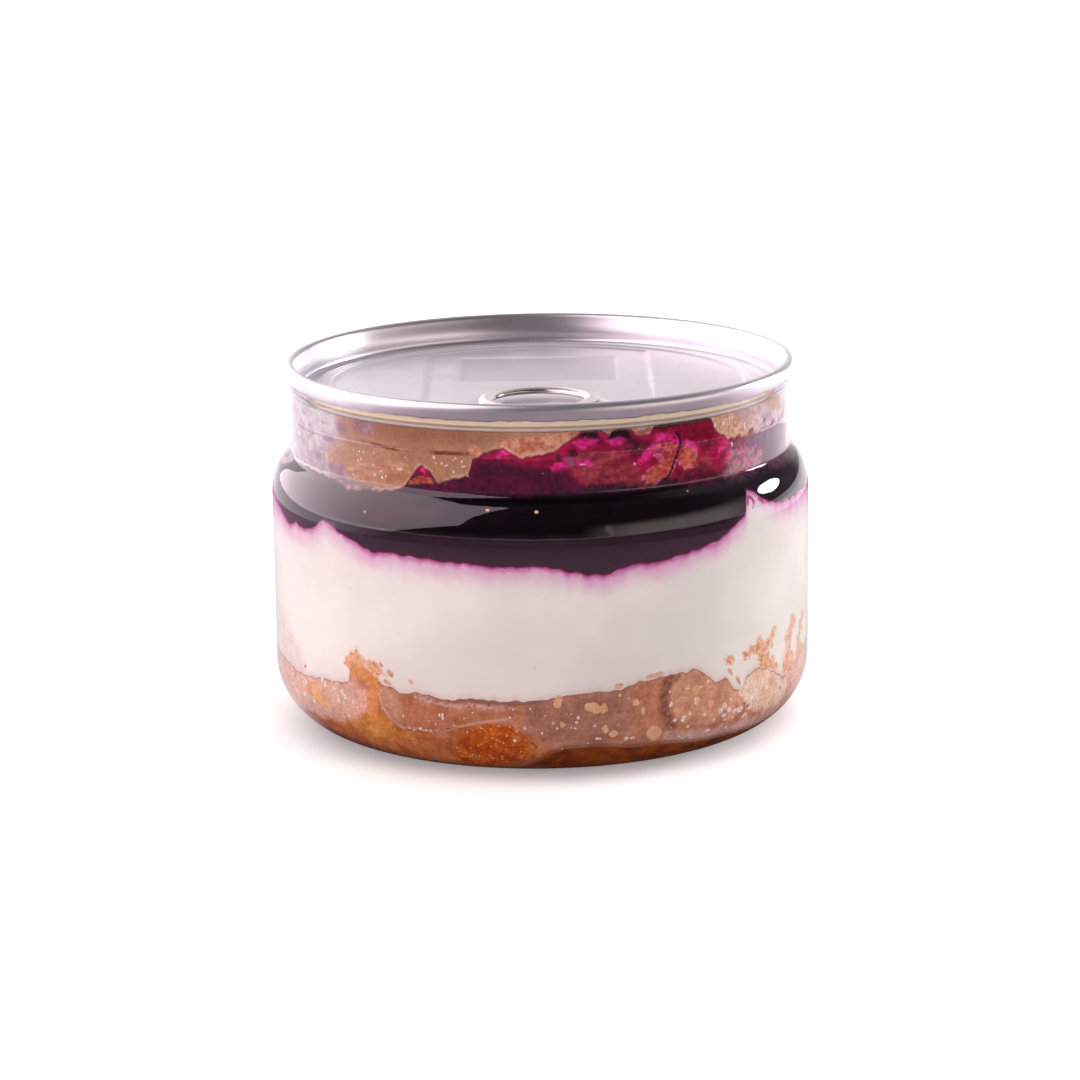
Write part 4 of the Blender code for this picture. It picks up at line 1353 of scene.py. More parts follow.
def cream_finish(settings):
    """Cream with jam juice drawn into its upper edge."""
    finish = Finish("cream")
    coat, within = finish.coat, finish.within
    cloud = finish.noise(14.0, 3.0, 0.5, 21.0)
    fine = finish.noise(1.0, 2.0, 0.5, 22.0)
    wisp = finish.noise(2.6, 4.0, 0.6, 23.0)
    flake = finish.noise(0.55, 4.0, 0.6, 25.0, distortion=0.8)
    below = finish.painted("below_edge")
    above = finish.painted("above_edge")
    cream = settings.cream
    finish.base = cloud.tones(shade(cream, 0.96), shade(cream, 1.04), 0.35, 0.65)
    spots = finish.shifted(0.3, 0.8, 24.0)
    pick = finish.axis(finish.cells(3.0, spots, "Color"), 1)
    speck = finish.cells(3.0, spots).below(0.05, 0.085) * pick.above(0.72, 0.78)
    coat(speck * 0.55, (0.74, 0.47, 0.24))
    width = settings.bleed_width / MM
    halo = (below + wisp.sway(width) * 0.7).below(-0.6, width)
    coat(halo * (0.62 + 0.36 * cloud.above(0.42, 0.58)), settings.bleed)
    vein = (below + wisp.sway(2.4)).below(0.0, 1.2)
    coat(vein * (0.45 + 0.50 * wisp.above(0.40, 0.56)), (0.50, 0.02, 0.27))
    coat(within("squiggle", fine.sway(0.5), 0.2) * 0.9, (0.46, 0.01, 0.22))
    film = wisp.tones((0.74, 0.53, 0.46), (0.88, 0.76, 0.74), 0.35, 0.65)
    coat(within("corner", wisp.sway(2.4), 1.6) * 0.6, film)
    coat((below + fine.sway(0.5)).below(0.02, 0.28) * 0.6, (0.24, 0.006, 0.09))
    coat((above + wisp.sway(1.4)).below(0.0, 1.2) * 0.35, (0.66, 0.46, 0.44))
    crumb = flake.tones((0.66, 0.22, 0.075), (0.90, 0.56, 0.36), 0.36, 0.6)
    coat(within("smear", wisp.sway(3.4) + fine.sway(2.4), 0.5) * 0.92, crumb)
    crumb = fine.tones((0.52, 0.17, 0.08), (0.80, 0.42, 0.27), 0.4, 0.6)
    coat(within("loose", fine.sway(0.6), 0.15) * 0.85, crumb)
    return finish.done(
        fine * 0.3 + cloud * 0.7, 0.05, 0.4, Roughness=0.4, Specular_IOR_Level=0.05
    )


def jam_finish(settings):
    """Dark jam, magenta where it thins, with cake showing through it."""
    finish = Finish("blueberry jam")
    coat, patch, blend, within = finish.coat, finish.patch, finish.blend, finish.within
    soft = finish.noise(3.0, 4.0, 0.6, 31.0)
    fine = finish.noise(0.8, 3.0, 0.6, 32.0)
    wisp = finish.noise(1.8, 4.0, 0.6, 33.0, finish.stretched((0.8, 0.8, 1.6)), 0.5)
    smear = finish.noise(1.4, 4.0, 0.6, 34.0, finish.stretched((0.8, 0.8, 1.4)), 0.6)
    wobble = finish.wobble = soft.sway(1.6) + fine.sway(0.8)
    height = finish.painted("height")
    thin = settings.thin_jam
    finish.base = soft.tones(settings.jam, shade(settings.jam, 2.6), 0.35, 0.7)
    rise = (height + soft.sway(0.6)).above(47.2, 48.3)
    coat(rise * 0.9, soft.tones((0.05, 0.012, 0.034), (0.075, 0.018, 0.048), 0.35, 0.65))
    # Lighter greyish purple low on the jam: painted reflection of the floor in the wall
    coat((height + soft.sway(1.2)).below(40.3, 42.4) * 0.85, (0.044, 0.017, 0.034))
    patch("glow", 1.6, 1.1, wisp.tones(shade(thin, 0.45), thin, 0.32, 0.62))
    patch("lit", 1.0, 1.6, (0.075, 0.028, 0.04), 0.8)
    patch("deep", 1.2, 1.0, soft.tones((0.08, 0.008, 0.034), (0.135, 0.01, 0.05)))
    patch("crimson", 1.2, 0.8, wisp.tones((0.20, 0.003, 0.04), (0.62, 0.01, 0.14), 0.36, 0.62))
    patch("brown", 1.4, 0.9, wisp.tones((0.24, 0.018, 0.05), (0.46, 0.065, 0.085), 0.35, 0.65))
    red = wisp.tones((0.14, 0.001, 0.014), (0.36, 0.001, 0.05), 0.35, 0.7)
    patch("red", 1.0, 0.4, blend(fine.above(0.58, 0.68) * 0.5, red, (0.52, 0.003, 0.12)))
    maroon = wisp.tones((0.085, 0.004, 0.026), (0.19, 0.01, 0.048), 0.4, 0.6)
    patch("maroon", 1.8, 1.0, maroon, 0.9)
    ember = smear.tones((0.46, 0.045, 0.045), (0.76, 0.21, 0.10), 0.4, 0.6)
    patch("ember", 0.8, 0.35, ember, 0.9)
    patch("clot", 0.8, 0.3, (0.03, 0.003, 0.01), 0.9)
    patch("lilac", 0.6, 0.4, (0.30, 0.10, 0.22), 0.8)
    cake = smear.tones((0.44, 0.035, 0.055), (0.72, 0.19, 0.105), 0.32, 0.66)
    cake = blend(fine.above(0.58, 0.70) * 0.5, cake, (0.90, 0.42, 0.30))
    patch("caught_cake", 0.9, 0.5, cake, 0.9)
    # Bright magenta edges of the caught cake: painted highlights
    border = finish.outline("caught_cake", wobble * 0.9, 0.08, 0.25)
    coat(border * smear.above(0.48, 0.56) * 0.6, (0.88, 0.22, 0.42))
    patch("hollow", 0.6, 0.3, (0.34, 0.02, 0.075), 0.8)
    # Bright magenta rim of each hollow: painted highlight
    border = finish.outline("hollow", wobble * 0.6, 0.06, 0.2)
    coat(border * smear.above(0.42, 0.52), (0.90, 0.10, 0.52))
    # Bright pink spots in the jam: painted highlights
    shine = smear.tones((0.62, 0.01, 0.17), (1.0, 0.055, 0.40), 0.35, 0.65)
    coat(within("hot", wobble * 0.9, 0.45) * smear.above(0.22, 0.46), shine)
    patch("berry", 0.8, 0.4, (0.02, 0.003, 0.008))
    haze = soft.tones((0.15, 0.045, 0.105), (0.25, 0.12, 0.20))
    crumbs = within("crumb_film", wobble, 0.6) * wisp.above(0.30, 0.60)
    haze = blend(crumbs, haze, (0.62, 0.33, 0.34))
    specks = fine.above(0.53, 0.61) * within("crumb_film", wobble * 1.2 + 0.6, 1.4)
    haze = blend(specks, haze, (0.78, 0.03, 0.30))
    coat(within("film", wobble * 1.3 + smear.sway(2.0), 1.2) * 0.9, haze)
    grit = fine.tones((0.8, 0.8, 0.8), (1.2, 1.2, 1.2), 0.36, 0.64)
    coat(rise, blend(1.0, finish.base, grit, "MULTIPLY"))
    coat(within("thread", fine.sway(0.12)), (0.012, 0.002, 0.006))
    # Tiny pale pink dots above the crease: painted glints
    coat(finish.dots(2.2, 35.0, 0.4, 0.8, 0.025, 0.055) * rise * 0.7, (0.90, 0.50, 0.62))
    edge = (finish.painted("above_edge") + fine.sway(0.6)).below(0.02, 0.5)
    coat(edge * 0.7, (0.12, 0.003, 0.035))
    # Greyish patches where air bubbles sit at the wall: painted sheen of the bubbles
    coat(within("bubble_sheen", fine.sway(0.8), 0.3) * 0.5, (0.10, 0.07, 0.085))
    return finish.done(soft, 0.12, 0.4, Roughness=0.25, Specular_IOR_Level=0.03)


def lump_finish(name, low, high, roughness):
    """Crumb lumps, each with its own tone, and painted shade round the rim."""
    finish = Finish(name)
    grain = finish.noise(0.5, 4.0, 0.6, 41.0)
    soft = finish.noise(1.6, 3.0, 0.6, 42.0)
    tone = finish.painted("tone") * 0.5 + soft.above(0.3, 0.7) * 0.5
    finish.base = finish.blend(tone, low, high)
    finish.coat(grain.above(0.5, 0.7) * 0.45, shade(high, 1.3))
    # Painted shade: darker round the rim, where a lump bends away from the wall
    rim = (finish.painted("rim") + grain.sway(0.12)).above(0.90, 0.99)
    finish.coat(rim * 0.75, shade(low, 0.42))
    return finish.done(
        grain * 0.5 + soft * 0.5, 0.12, 0.7, Roughness=roughness, Specular_IOR_Level=0.4
    )


def pocket_glint_finish():
    """A pocket of air at the wall as a painted highlight, with painted shade at its rim."""
    finish = Finish("pocket glint")
    soft = finish.noise(0.5, 3.0, 0.5, 51.0)
    # Painted highlight: near white, for the pocket's glint
    finish.base = soft.tones((0.84, 0.56, 0.42), (1.0, 0.93, 0.88), 0.38, 0.62)
    # Painted shade: darker round the rim, where the pocket bends away from the wall
    rim = (finish.painted("rim") + soft.sway(0.3)).above(0.78, 0.97)
    finish.coat(rim * 0.8, (0.36, 0.17, 0.12))
    return finish.done(soft, 0.12, 0.6, Roughness=0.2 + soft * 0.2, Specular_IOR_Level=0.3)


def berry_finish(settings):
    """Berry skin with waxy bloom."""
    finish = Finish("berry skin")
    bloom = finish.noise(2.0, 5.0, 0.6, 61.0)
    fine = finish.noise(0.4, 3.0, 0.5, 62.0)
    finish.base = bloom.tones(settings.skin, settings.bloom, 0.42, 0.66)
    return finish.done(
        fine * 0.4 + bloom * 0.6, 0.06, 0.6, Roughness=0.32 + bloom * 0.25, Coat_Weight=0.3
    )


# ------------------------------------------------------------------ operators


class BASBOUSA_OT_jar(bpy.types.Operator):
    """Clear jar: pressed-up base, round shoulder, stepped neck"""

    bl_idname = "basbousa.jar"
    bl_label = "Clear jar"

    def execute(self, context):
        columns = 288
        shoulder = (BODY_R - SHOULDER_R, SHOULDER_RISE)
        bead = (
            (0, 0.7), (0, 0.35), (0.03, 0.18), (0.05, 0), (0.03, -0.18), (0, -0.35), (0, -0.7)
        )
        outside = [
            (MOUTH_INNER_R, JAR_MOUTH_Z), (MOUTH_R, JAR_MOUTH_Z), (MOUTH_R, JAR_MOUTH_Z - 0.7),
            (NECK_R, NECK_TOP_Z + 0.6), (NECK_R, NECK_TOP_Z + 0.3),
            *((NECK_R + out, NECK_STEP_Z + up) for out, up in bead),
            (NECK_R, NECK_FOOT_Z + 0.5), (NECK_R, NECK_FOOT_Z), (NECK_R + 0.05, NECK_FOOT_Z - 0.35),
            (NECK_R + 0.22, NECK_FOOT_Z - 0.7), (CREASE_R, CREASE_Z),
            *arc((SHOULDER_R, SHOULDER_Z), shoulder, 56, 0, 24),
            *arc((FOOT_R, HEEL_Z), (BODY_R - FOOT_R, HEEL_Z), 0, -90, 30),
            (FOOT_INNER_R, 0.0), (PUSH_UP_R, PUSH_UP_Z),
        ]
        inner_shoulder = (BODY_R - WALL - SHOULDER_R, SHOULDER_RISE - WALL)
        inner_heel = (BODY_R - WALL - FOOT_R, HEEL_Z - WALL)
        inside = [
            (PUSH_UP_R, PUSH_UP_Z + WALL), (FOOT_INNER_R, WALL),
            *arc((FOOT_R, HEEL_Z), inner_heel, -90, 0, 20),
            *arc((SHOULDER_R, SHOULDER_Z), inner_shoulder, 0, 78, 16),
            (NECK_INNER_R, CREASE_Z + 0.6), (NECK_INNER_R, NECK_TOP_Z),
        ]
        rows = turned_rows(inside + outside, columns)
        finish = jar_finish(context.scene.basbousa_jar)
        low, high = (0, 0, PUSH_UP_TOP_Z), (0, 0, PUSH_UP_TOP_Z + WALL)
        jar = turned_body("clear_jar", rows, columns, high, low, [finish], "clear_jar", 34.0)
        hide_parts("jar")
        return {"FINISHED"}


def panel_height(x, y):
    """Height of the lid's pressed panel at points."""
    radius = np.hypot(x, y)
    floor_edge = np.minimum(FLOOR_HALF - np.abs(x), FLOOR_R - radius)
    well_edge = WELL_R - np.hypot(x, y - RING_Y)
    bead_away = np.abs(radius - BEAD_R)
    bead = np.where(bead_away < 0.85, 0.3 * 0.5 * (1 + np.cos(np.pi * bead_away / 0.85)), 0.0)
    swell = 0.25 * (1.0 - step(np.hypot(x, y - RIVET_Y), 2.6, 4.2))
    plate_edge = np.minimum(PLATE_HALF - np.abs(x), PLATE_DEEP - np.abs(y - PLATE_Y))
    sunk = PANEL_Z + bead - FLOOR_DEPTH * step(floor_edge, -FOLD_STEP, FOLD_STEP)
    sunk = sunk - PLATE_SUNK * step(plate_edge, -0.5, 0.5)
    return sunk - WELL_DEPTH * step(well_edge, -WELL_STEP, WELL_STEP) + swell


def pull_to_folds(x, y):
    """Move panel points onto the fold lines that are close to them."""
    edge = FLOOR_HALF - np.abs(x)
    near = (np.abs(edge) < 0.45) & (np.hypot(x, y) < FLOOR_R - 0.6)
    target = np.round(edge / FOLD_STEP) * FOLD_STEP
    x = np.where(near, np.sign(x) * (FLOOR_HALF - target), x)
    away = np.hypot(x, y - RING_Y)
    edge = WELL_R - away
    target = np.round(edge / WELL_STEP) * WELL_STEP
    scale = np.where(np.abs(edge) < 0.5, (WELL_R - target) / np.maximum(away, 1e-6), 1.0)
    return x * scale, RING_Y + (y - RING_Y) * scale


def seam_lift(bearing, seam_wave):
    """How far the seam's lower edge waves up and down, with the notches of the rollers."""
    turn = np.radians(bearing)
    chance = np.random.default_rng(71)
    wave = sum(
        np.sin(n * turn + chance.uniform(0, 2 * math.pi)) for n in (11, 23, 37, 53, 79, 113, 151)
    ) / 3.0
    notch = sum(
        np.clip(1.0 - np.abs((bearing - place + 180) % 360 - 180) / 1.4, 0, 1)
        for place in (352, 9, 27, 331, 60, 104, 150, 201, 250, 290)
    )
    return np.maximum(seam_wave / MM * wave + 0.22 * notch, -0.1)


class BASBOUSA_OT_lid(bpy.types.Operator):
    """Aluminium end: seam, chuck wall, groove, beaded panel with its sunk floor, and rivet"""

    bl_idname = "basbousa.lid"
    bl_label = "Aluminium end"

    def execute(self, context):
        settings = context.scene.basbousa_lid
        columns = 432
        bearing = np.arange(columns) * (360.0 / columns)
        rows = []
        kinds = []
        radii = [
            *np.arange(0.5, 33.6, 0.5), 33.7, 33.9, 34.05, 34.2, 34.35, 34.5, 34.7,
            *np.arange(34.85, 36.6, 0.12), 37.0, 37.5,
        ]
        for radius in radii:
            x, y = circle_points(bearing, radius)
            if 1.0 < radius < 33.5:
                x, y = pull_to_folds(x, y)
            rows.append(np.stack([x, y, panel_height(x, y)], 1))
            kinds.append(0)
        groove = rounded([
            (37.7, PANEL_Z), (37.8, PANEL_Z - 0.07), (37.9, PANEL_Z), (PANEL_R, PANEL_Z),
            (PANEL_R + 0.9, GROOVE_Z), (CHUCK_R - 0.5, GROOVE_Z), (CHUCK_R, PANEL_Z),
            (CHUCK_R, NECK_TOP_Z), (CHUCK_TOP_R, JAR_MOUTH_Z), (CHUCK_TOP_R + 0.2, CREST_Z - 0.35),
            (CREST_R - 0.15, CREST_Z), (CREST_R + 0.15, CREST_Z), (SEAM_R - 0.3, CREST_Z - 0.25),
            (SEAM_R, CREST_Z - 1.0), (SEAM_R - 0.1, SEAM_FOOT_Z + 0.15),
            (SEAM_FOOT_R + 0.3, SEAM_FOOT_Z), (SEAM_FOOT_R, SEAM_FOOT_Z),
        ])
        fold = rounded([
            (SEAM_FOOT_R + 0.02, SEAM_FOOT_Z + 0.1), (SEAM_R - SHEET, SEAM_FOOT_Z + 0.8),
            (SEAM_R - SHEET, JAR_MOUTH_Z + 0.3), (CREST_R, CREST_Z - SHEET),
            (CHUCK_TOP_R + SHEET, JAR_MOUTH_Z), (CHUCK_R + SHEET, NECK_TOP_Z),
            (CHUCK_R + SHEET, PANEL_Z - 0.2), (CHUCK_R - 0.25, GROOVE_Z - SHEET),
            (PANEL_R + 0.7, GROOVE_Z - SHEET), (PANEL_R - 0.2, GROOVE_Z - SHEET),
            (20.0, GROOVE_Z - SHEET - 0.02),
        ])
        lift = seam_lift(bearing, settings.seam_wave)
        for kind, profile in ((0, groove), (1, fold)):
            for r, z in profile:
                share = np.clip((SEAM_FOOT_Z + 0.9 - z) / 0.9, 0, 1) * (r > SEAM_FOOT_R - 0.05)
                rows.append(ring(bearing, r, z + share * lift))
                kinds.append(kind)
        metal = metal_finish("lid aluminium", settings.metal, 0.25, 0.35, plate=True)
        top, bottom = (0, 0, PANEL_Z - FLOOR_DEPTH), (0, 0, GROOVE_Z - SHEET - 0.02)
        lid = turned_body(
            "aluminium_end", rows, columns, top, bottom,
            [metal, lacquer_finish(settings.lacquer)], "lid_metal", 50.0,
        )
        sides = np.repeat(kinds[1:], columns)
        slots = np.zeros(len(lid.data.polygons), np.int32)
        slots[: len(sides)] = sides
        slots[len(sides) + 1 :: 2] = 1
        lid.data.polygons.foreach_set("material_index", slots)
        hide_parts("lid")
        head = rounded([
            (0.6, RIVET_TOP_Z), (RIVET_HEAD_R - 0.4, RIVET_TOP_Z),
            (RIVET_HEAD_R, RIVET_TOP_Z - 0.2), (RIVET_HEAD_R, RIVET_TOP_Z - 0.45),
            (1.5, RIVET_TOP_Z - 0.45), (1.5, RIVET_FOOT_Z),
        ])
        rows = turned_rows([(0.3, RIVET_TOP_Z - 0.12), *head], 48)
        for row in rows:
            row[:, 1] += RIVET_Y
        top, bottom = (0, RIVET_Y, RIVET_TOP_Z - 0.14), (0, RIVET_Y, RIVET_FOOT_Z)
        rivet = turned_body("rivet", rows, 48, top, bottom, [metal], "lid_metal", 60.0)
        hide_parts("lid")
        return {"FINISHED"}


class BASBOUSA_OT_ring_pull(bpy.types.Operator):
    """Ring pull: a rolled ring drawn out to a nose over the rivet"""

    bl_idname = "basbousa.ring_pull"
    bl_label = "Ring pull"

    def execute(self, context):
        settings = context.scene.basbousa_lid
        columns = 288
        bearing = np.arange(columns) * (360.0 / columns)
        turn = np.radians(bearing)
        reach = RING_Y - NOSE_Y
        lean = math.asin((RING_R - NOSE_R) / reach)
        limit = 0.5 * math.pi - lean
        off = np.abs((turn + math.pi) % (2 * math.pi) - math.pi)
        nose_span = math.atan2(NOSE_R * math.cos(lean), reach + NOSE_R * math.sin(lean))
        inner = np.sqrt(np.maximum(NOSE_R**2 - (reach * np.sin(off)) ** 2, 0.0))
        nose_part = reach * np.cos(off) + inner
        straight = RING_R / np.maximum(np.cos(np.maximum(limit - off, 0.0)), 0.2)
        outer = np.where(off < nose_span, nose_part, np.where(off < limit, straight, RING_R))
        across = 0.5 - 0.5 * np.cos(np.pi * np.linspace(0, 1, 26))
        rows = []
        for top in (True, False):
            for share in across if top else across[::-1]:
                radius = FINGER_R + (outer - FINGER_R) * share
                rim = np.minimum(radius - FINGER_R, outer - radius)
                inward = np.clip(1.0 - rim / 1.3, 0.0, 1.0)
                fall = 0.63 * (1.0 - np.sqrt(1.0 - inward**2))
                x, y = radius * np.sin(turn), RING_Y - radius * np.cos(turn)
                z = TAB_Z + fall
                if top:
                    away = np.hypot(x, y - RIVET_Y)
                    web = 1.0 - step(away, WEB_R - 0.15, WEB_R + 0.3)
                    z = TAB_Z + TAB_THICKNESS - fall - 0.28 * step(rim, 1.45, 2.0)
                    z = z + (TAB_Z + 0.5 - z) * web * (rim > 0.35)
                rows.append(np.stack([x, y, z], 1))
        corners = np.concatenate(rows)
        faces = [tuple(reversed(face)) for face in ring_faces(len(rows), columns)]
        last = (len(rows) - 1) * columns
        for j in range(columns):
            k = (j + 1) % columns
            faces.append((last + j, last + k, k, j))
        metal = metal_finish("ring pull metal", settings.ring, 0.08, 0.8, 5.0, 0.95)
        pull = new_piece("ring_pull", corners, faces, [metal], "ring_metal")
        pull.data.set_sharp_from_angle(angle=math.radians(60))
        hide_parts("ring_tab")
        return {"FINISHED"}


class BASBOUSA_OT_lower_cake(bpy.types.Operator):
    """Soaked cake at the foot, its crumb lumps, and painted glints for its pockets of air"""

    bl_idname = "basbousa.lower_cake"
    bl_label = "Lower cake"

    def execute(self, context):
        settings = context.scene.basbousa_cake
        edge = low_cake_line()
        cake, z, spread = layer(
            "basbousa_lower", None, edge, 0.0, LOW_CAKE_Z, 84, lower_cake_finish(settings),
            "syrup_cake",
        )
        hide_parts("basbousa_base")
        paint_regions(cake, CAKE_REGIONS, CAKE_STROKES, z, spread)
        paint(cake, "height", spread(z))
        paint(cake, "below_edge", spread(edge - z))
        chance = np.random.default_rng(81)
        lumps = list(LOW_LUMPS)
        for _ in range(90):
            bearing = chance.uniform(70, 290)
            size = chance.uniform(0.3, 0.9)
            height = chance.uniform(6.0, 12.5)
            lumps.append((bearing, height, size, size * chance.uniform(0.6, 1.1), 0.1))
        for _ in range(16):
            size = chance.uniform(0.12, 0.25)
            lumps.append((chance.uniform(-66, 66), chance.uniform(7.5, 12.5), size, size, 0.06))
        finish = lump_finish("semolina lumps", (0.74, 0.31, 0.11), (0.84, 0.54, 0.38), 0.5)
        lump = wall_lumps("semolina_lumps", lumps, [finish], "syrup_cake", 82, uneven=0.26)
        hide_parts("basbousa_base")
        # Pockets of air, shown as painted glints
        pockets = []
        for centre, height, wide, tall, count, lean in LOW_GROUPS:
            for _ in range(count):
                size = chance.uniform(0.10, 0.30)
                z_here = min(height + chance.normal(0, tall * 0.5), 13.2)
                bearing = centre + chance.normal(0, wide * 0.5)
                stretch = lean * size * chance.uniform(0.6, 1.3)
                pockets.append((bearing, z_here, size, stretch, 0.07))
        pockets += [(*row, 0.08) for row in LOW_POCKETS]
        pocket = wall_lumps("air_pocket_glints", pockets, [pocket_glint_finish()], "syrup_cake", 83, 12, 7, 0.3)
        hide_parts("basbousa_base")
        return {"FINISHED"}


class BASBOUSA_OT_cream(bpy.types.Operator):
    """Cream, with juice drawn in along the jam and cake crumbs streaked up the wall"""

    bl_idname = "basbousa.cream"
    bl_label = "Cream"

    def execute(self, context):
        low = low_cake_line() + LINE_GAP
        high = cream_line()
        finish = cream_finish(context.scene.basbousa_cream)
        cream, z, spread = layer(
            "cream_layer", low, high, LOW_CAKE_Z + MIDDLE_GAP, CREAM_Z, 72, finish, "cream"
        )
        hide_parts("cream")
        paint(cream, "below_edge", spread(high - z))
        paint(cream, "above_edge", spread(z - low))
        paint_regions(cream, CREAM_REGIONS, CREAM_STROKES, z, spread)
        return {"FINISHED"}


class BASBOUSA_OT_jam(bpy.types.Operator):
    """Blueberry jam round the shoulder and up to the lid"""

    bl_idname = "basbousa.jam"
    bl_label = "Blueberry jam"

    def execute(self, context):
        low = cream_line() + LINE_GAP
        high = np.minimum(jam_line(), FILM_TOP_Z)
        finish = jam_finish(context.scene.basbousa_jam)
        jam, z, spread = layer(
            "jam_layer", low, high, CREAM_Z + MIDDLE_GAP, JAM_Z, 84, finish, "blueberry_jam"
        )
        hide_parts("blueberry_jam")
        paint_regions(jam, JAM_REGIONS, JAM_STROKES, z, spread)
        paint(jam, "height", spread(z))
        paint(jam, "above_edge", spread(z - low))
        finish = lump_finish("crumbs in jam", (0.80, 0.34, 0.13), (0.95, 0.62, 0.34), 0.5)
        crumbs = wall_lumps("jam_crumbs", JAM_CRUMBS, [finish], "syrup_cake", 95)
        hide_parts("blueberry_jam")
        return {"FINISHED"}


class BASBOUSA_OT_upper_cake(bpy.types.Operator):
    """Soaked cake up to the lid, its crags, and chunks of it caught in the jam"""

    bl_idname = "basbousa.upper_cake"
    bl_label = "Upper cake"

    def execute(self, context):
        low = np.minimum(jam_line() + LINE_GAP, FILM_TOP_Z - 0.3)
        high = np.full(COLUMNS, FILM_TOP_Z)
        finish = upper_cake_finish(context.scene.basbousa_cake)
        cake, z, spread = layer(
            "basbousa_upper", low, high, JAM_Z + 2 * MIDDLE_GAP, FOOD_TOP_Z, 40, finish, "syrup_cake",
            recess=lambda height: lobes(HOLLOWS) * step(height, 48.2, 50.0),
        )
        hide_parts("basbousa_top")
        paint_regions(cake, UPPER_REGIONS, UPPER_STROKES, z, spread)
        paint(cake, "above_edge", spread(z - low))
        chance = np.random.default_rng(91)
        chunks = list(CAKE_CHUNKS)
        for centre in CHUNK_BEARINGS:
            sizes = [chance.uniform(*span) for span in ((50.5, 54.0), (0.8, 1.8), (0.6, 1.4))]
            chunks.append((centre, *sizes, 0.12))
        finish = lump_finish("cake chunks", (0.36, 0.07, 0.045), (0.56, 0.22, 0.12), 0.45)
        chunk = wall_lumps("cake_chunks", chunks, [finish], "syrup_cake", 92, 28, 11, 0.18)
        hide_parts("basbousa_top")
        # Pockets of air at the neck, shown as painted glints
        pockets = []
        for centre, height, wide, tall, count in NECK_GROUPS:
            for _ in range(count):
                size = chance.uniform(0.08, 0.24)
                stretch = size * chance.uniform(0.5, 1.8)
                z_here = min(height + chance.normal(0, tall * 0.5), FILM_TOP_Z - 0.8)
                bearing = centre + chance.normal(0, wide * 0.5)
                pockets.append((bearing, z_here, size, stretch, 0.06))
        pockets += [(b, z, 0.8 * wide, 0.8 * tall, 0.08) for b, z, wide, tall in NECK_POCKETS]
        pocket = wall_lumps(
            "neck_pocket_glints", pockets, [pocket_glint_finish()], "syrup_cake", 93, 12, 7, 0.3
        )
        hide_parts("basbousa_top")
        return {"FINISHED"}


class BASBOUSA_OT_berries(bpy.types.Operator):
    """Whole blueberries with their crowns, sunk in the jam"""

    bl_idname = "basbousa.berries"
    bl_label = "Blueberries"

    def execute(self, context):
        finish = berry_finish(context.scene.basbousa_jam)
        columns, count = 48, 25
        bearing = np.arange(columns) * (360.0 / columns)
        for number in range(1, 7):
            low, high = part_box(f"blueberry_{number}")
            centre = (np.array(low) + np.array(high)) / 2 / MM
            size = (np.array(high) - np.array(low)) / 2 / MM * BERRY_FIT
            rows = []
            for i in range(1, count):
                polar = math.pi * i / count
                width = math.sin(polar)
                height = math.cos(polar)
                crown = step(width, 0.34, 0.20) if height > 0 else 0.0
                rim = math.exp(-(((width - 0.36) / 0.07) ** 2)) if height > 0 else 0.0
                points = 1 + 0.6 * np.cos(np.radians(5 * bearing))
                lift = 1.0 - 0.16 * crown + 0.03 * rim * points
                rows.append(centre + ring(bearing, width, height) * lift[:, None] * size)
            top = centre + np.array([0, 0, 0.84]) * size
            bottom = centre - np.array([0, 0, 1.0]) * size
            name = f"berry_{number}"
            berry = turned_body(name, rows, columns, top, bottom, [finish], "berry_skin", 70.0)
            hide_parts(f"blueberry_{number}")
        return {"FINISHED"}


# ------------------------------------------------------------------ stage, sizes in metres


def soft_box(name, place, aim, size, power, colour=(1.0, 1.0, 1.0), axes=None):
    """A rectangular lamp aimed at a point, or with its own two side directions."""
    lamp = bpy.data.lights.new(name, "AREA")
    lamp.shape = "RECTANGLE"
    lamp.size, lamp.size_y = size
    lamp.energy = power
    lamp.color = colour
    thing = bpy.data.objects.new(name, lamp)
    thing.rotation_mode = "QUATERNION"
    if axes is None:
        thing.rotation_quaternion = (Vector(aim) - Vector(place)).to_track_quat("-Z", "Y")
    else:
        along, up = (Vector(axis).normalized() for axis in axes)
        turn = Matrix((along, up, along.cross(up))).transposed()
        thing.rotation_quaternion = turn.to_quaternion()
    thing.location = place
    bpy.context.scene.collection.objects.link(thing)
    return thing


def level_sheet(name, half, height, finish):
    """A level square of the stage."""
    mesh = bpy.data.meshes.new(name)
    corners = [(x * half, y * half, height) for x, y in ((-1, -1), (1, -1), (1, 1), (-1, 1))]
    mesh.from_pydata(corners, [], [(0, 1, 2, 3)])
    mesh.materials.append(finish.material)
    sheet = bpy.data.objects.new(name, mesh)
    bpy.context.scene.collection.objects.link(sheet)
    return sheet


def floor_finish(colour):
    """Pale floor with a very faint cloud."""
    finish = Finish("pale floor")
    cloud = finish.noise(300.0, 2.0)
    pale = finish.blend(cloud, colour, shade(colour, 0.985))
    finish.set(
        Base_Color=finish.blend(finish.mirrored(), pale, (0.95, 0.86, 0.91)),
        Emission_Color=finish.blend(cloud, (1.0, 0.97, 0.98), (0.98, 0.96, 0.97)),
        Emission_Strength=0.25, Roughness=0.8, Specular_IOR_Level=0.1,
    )
    return finish


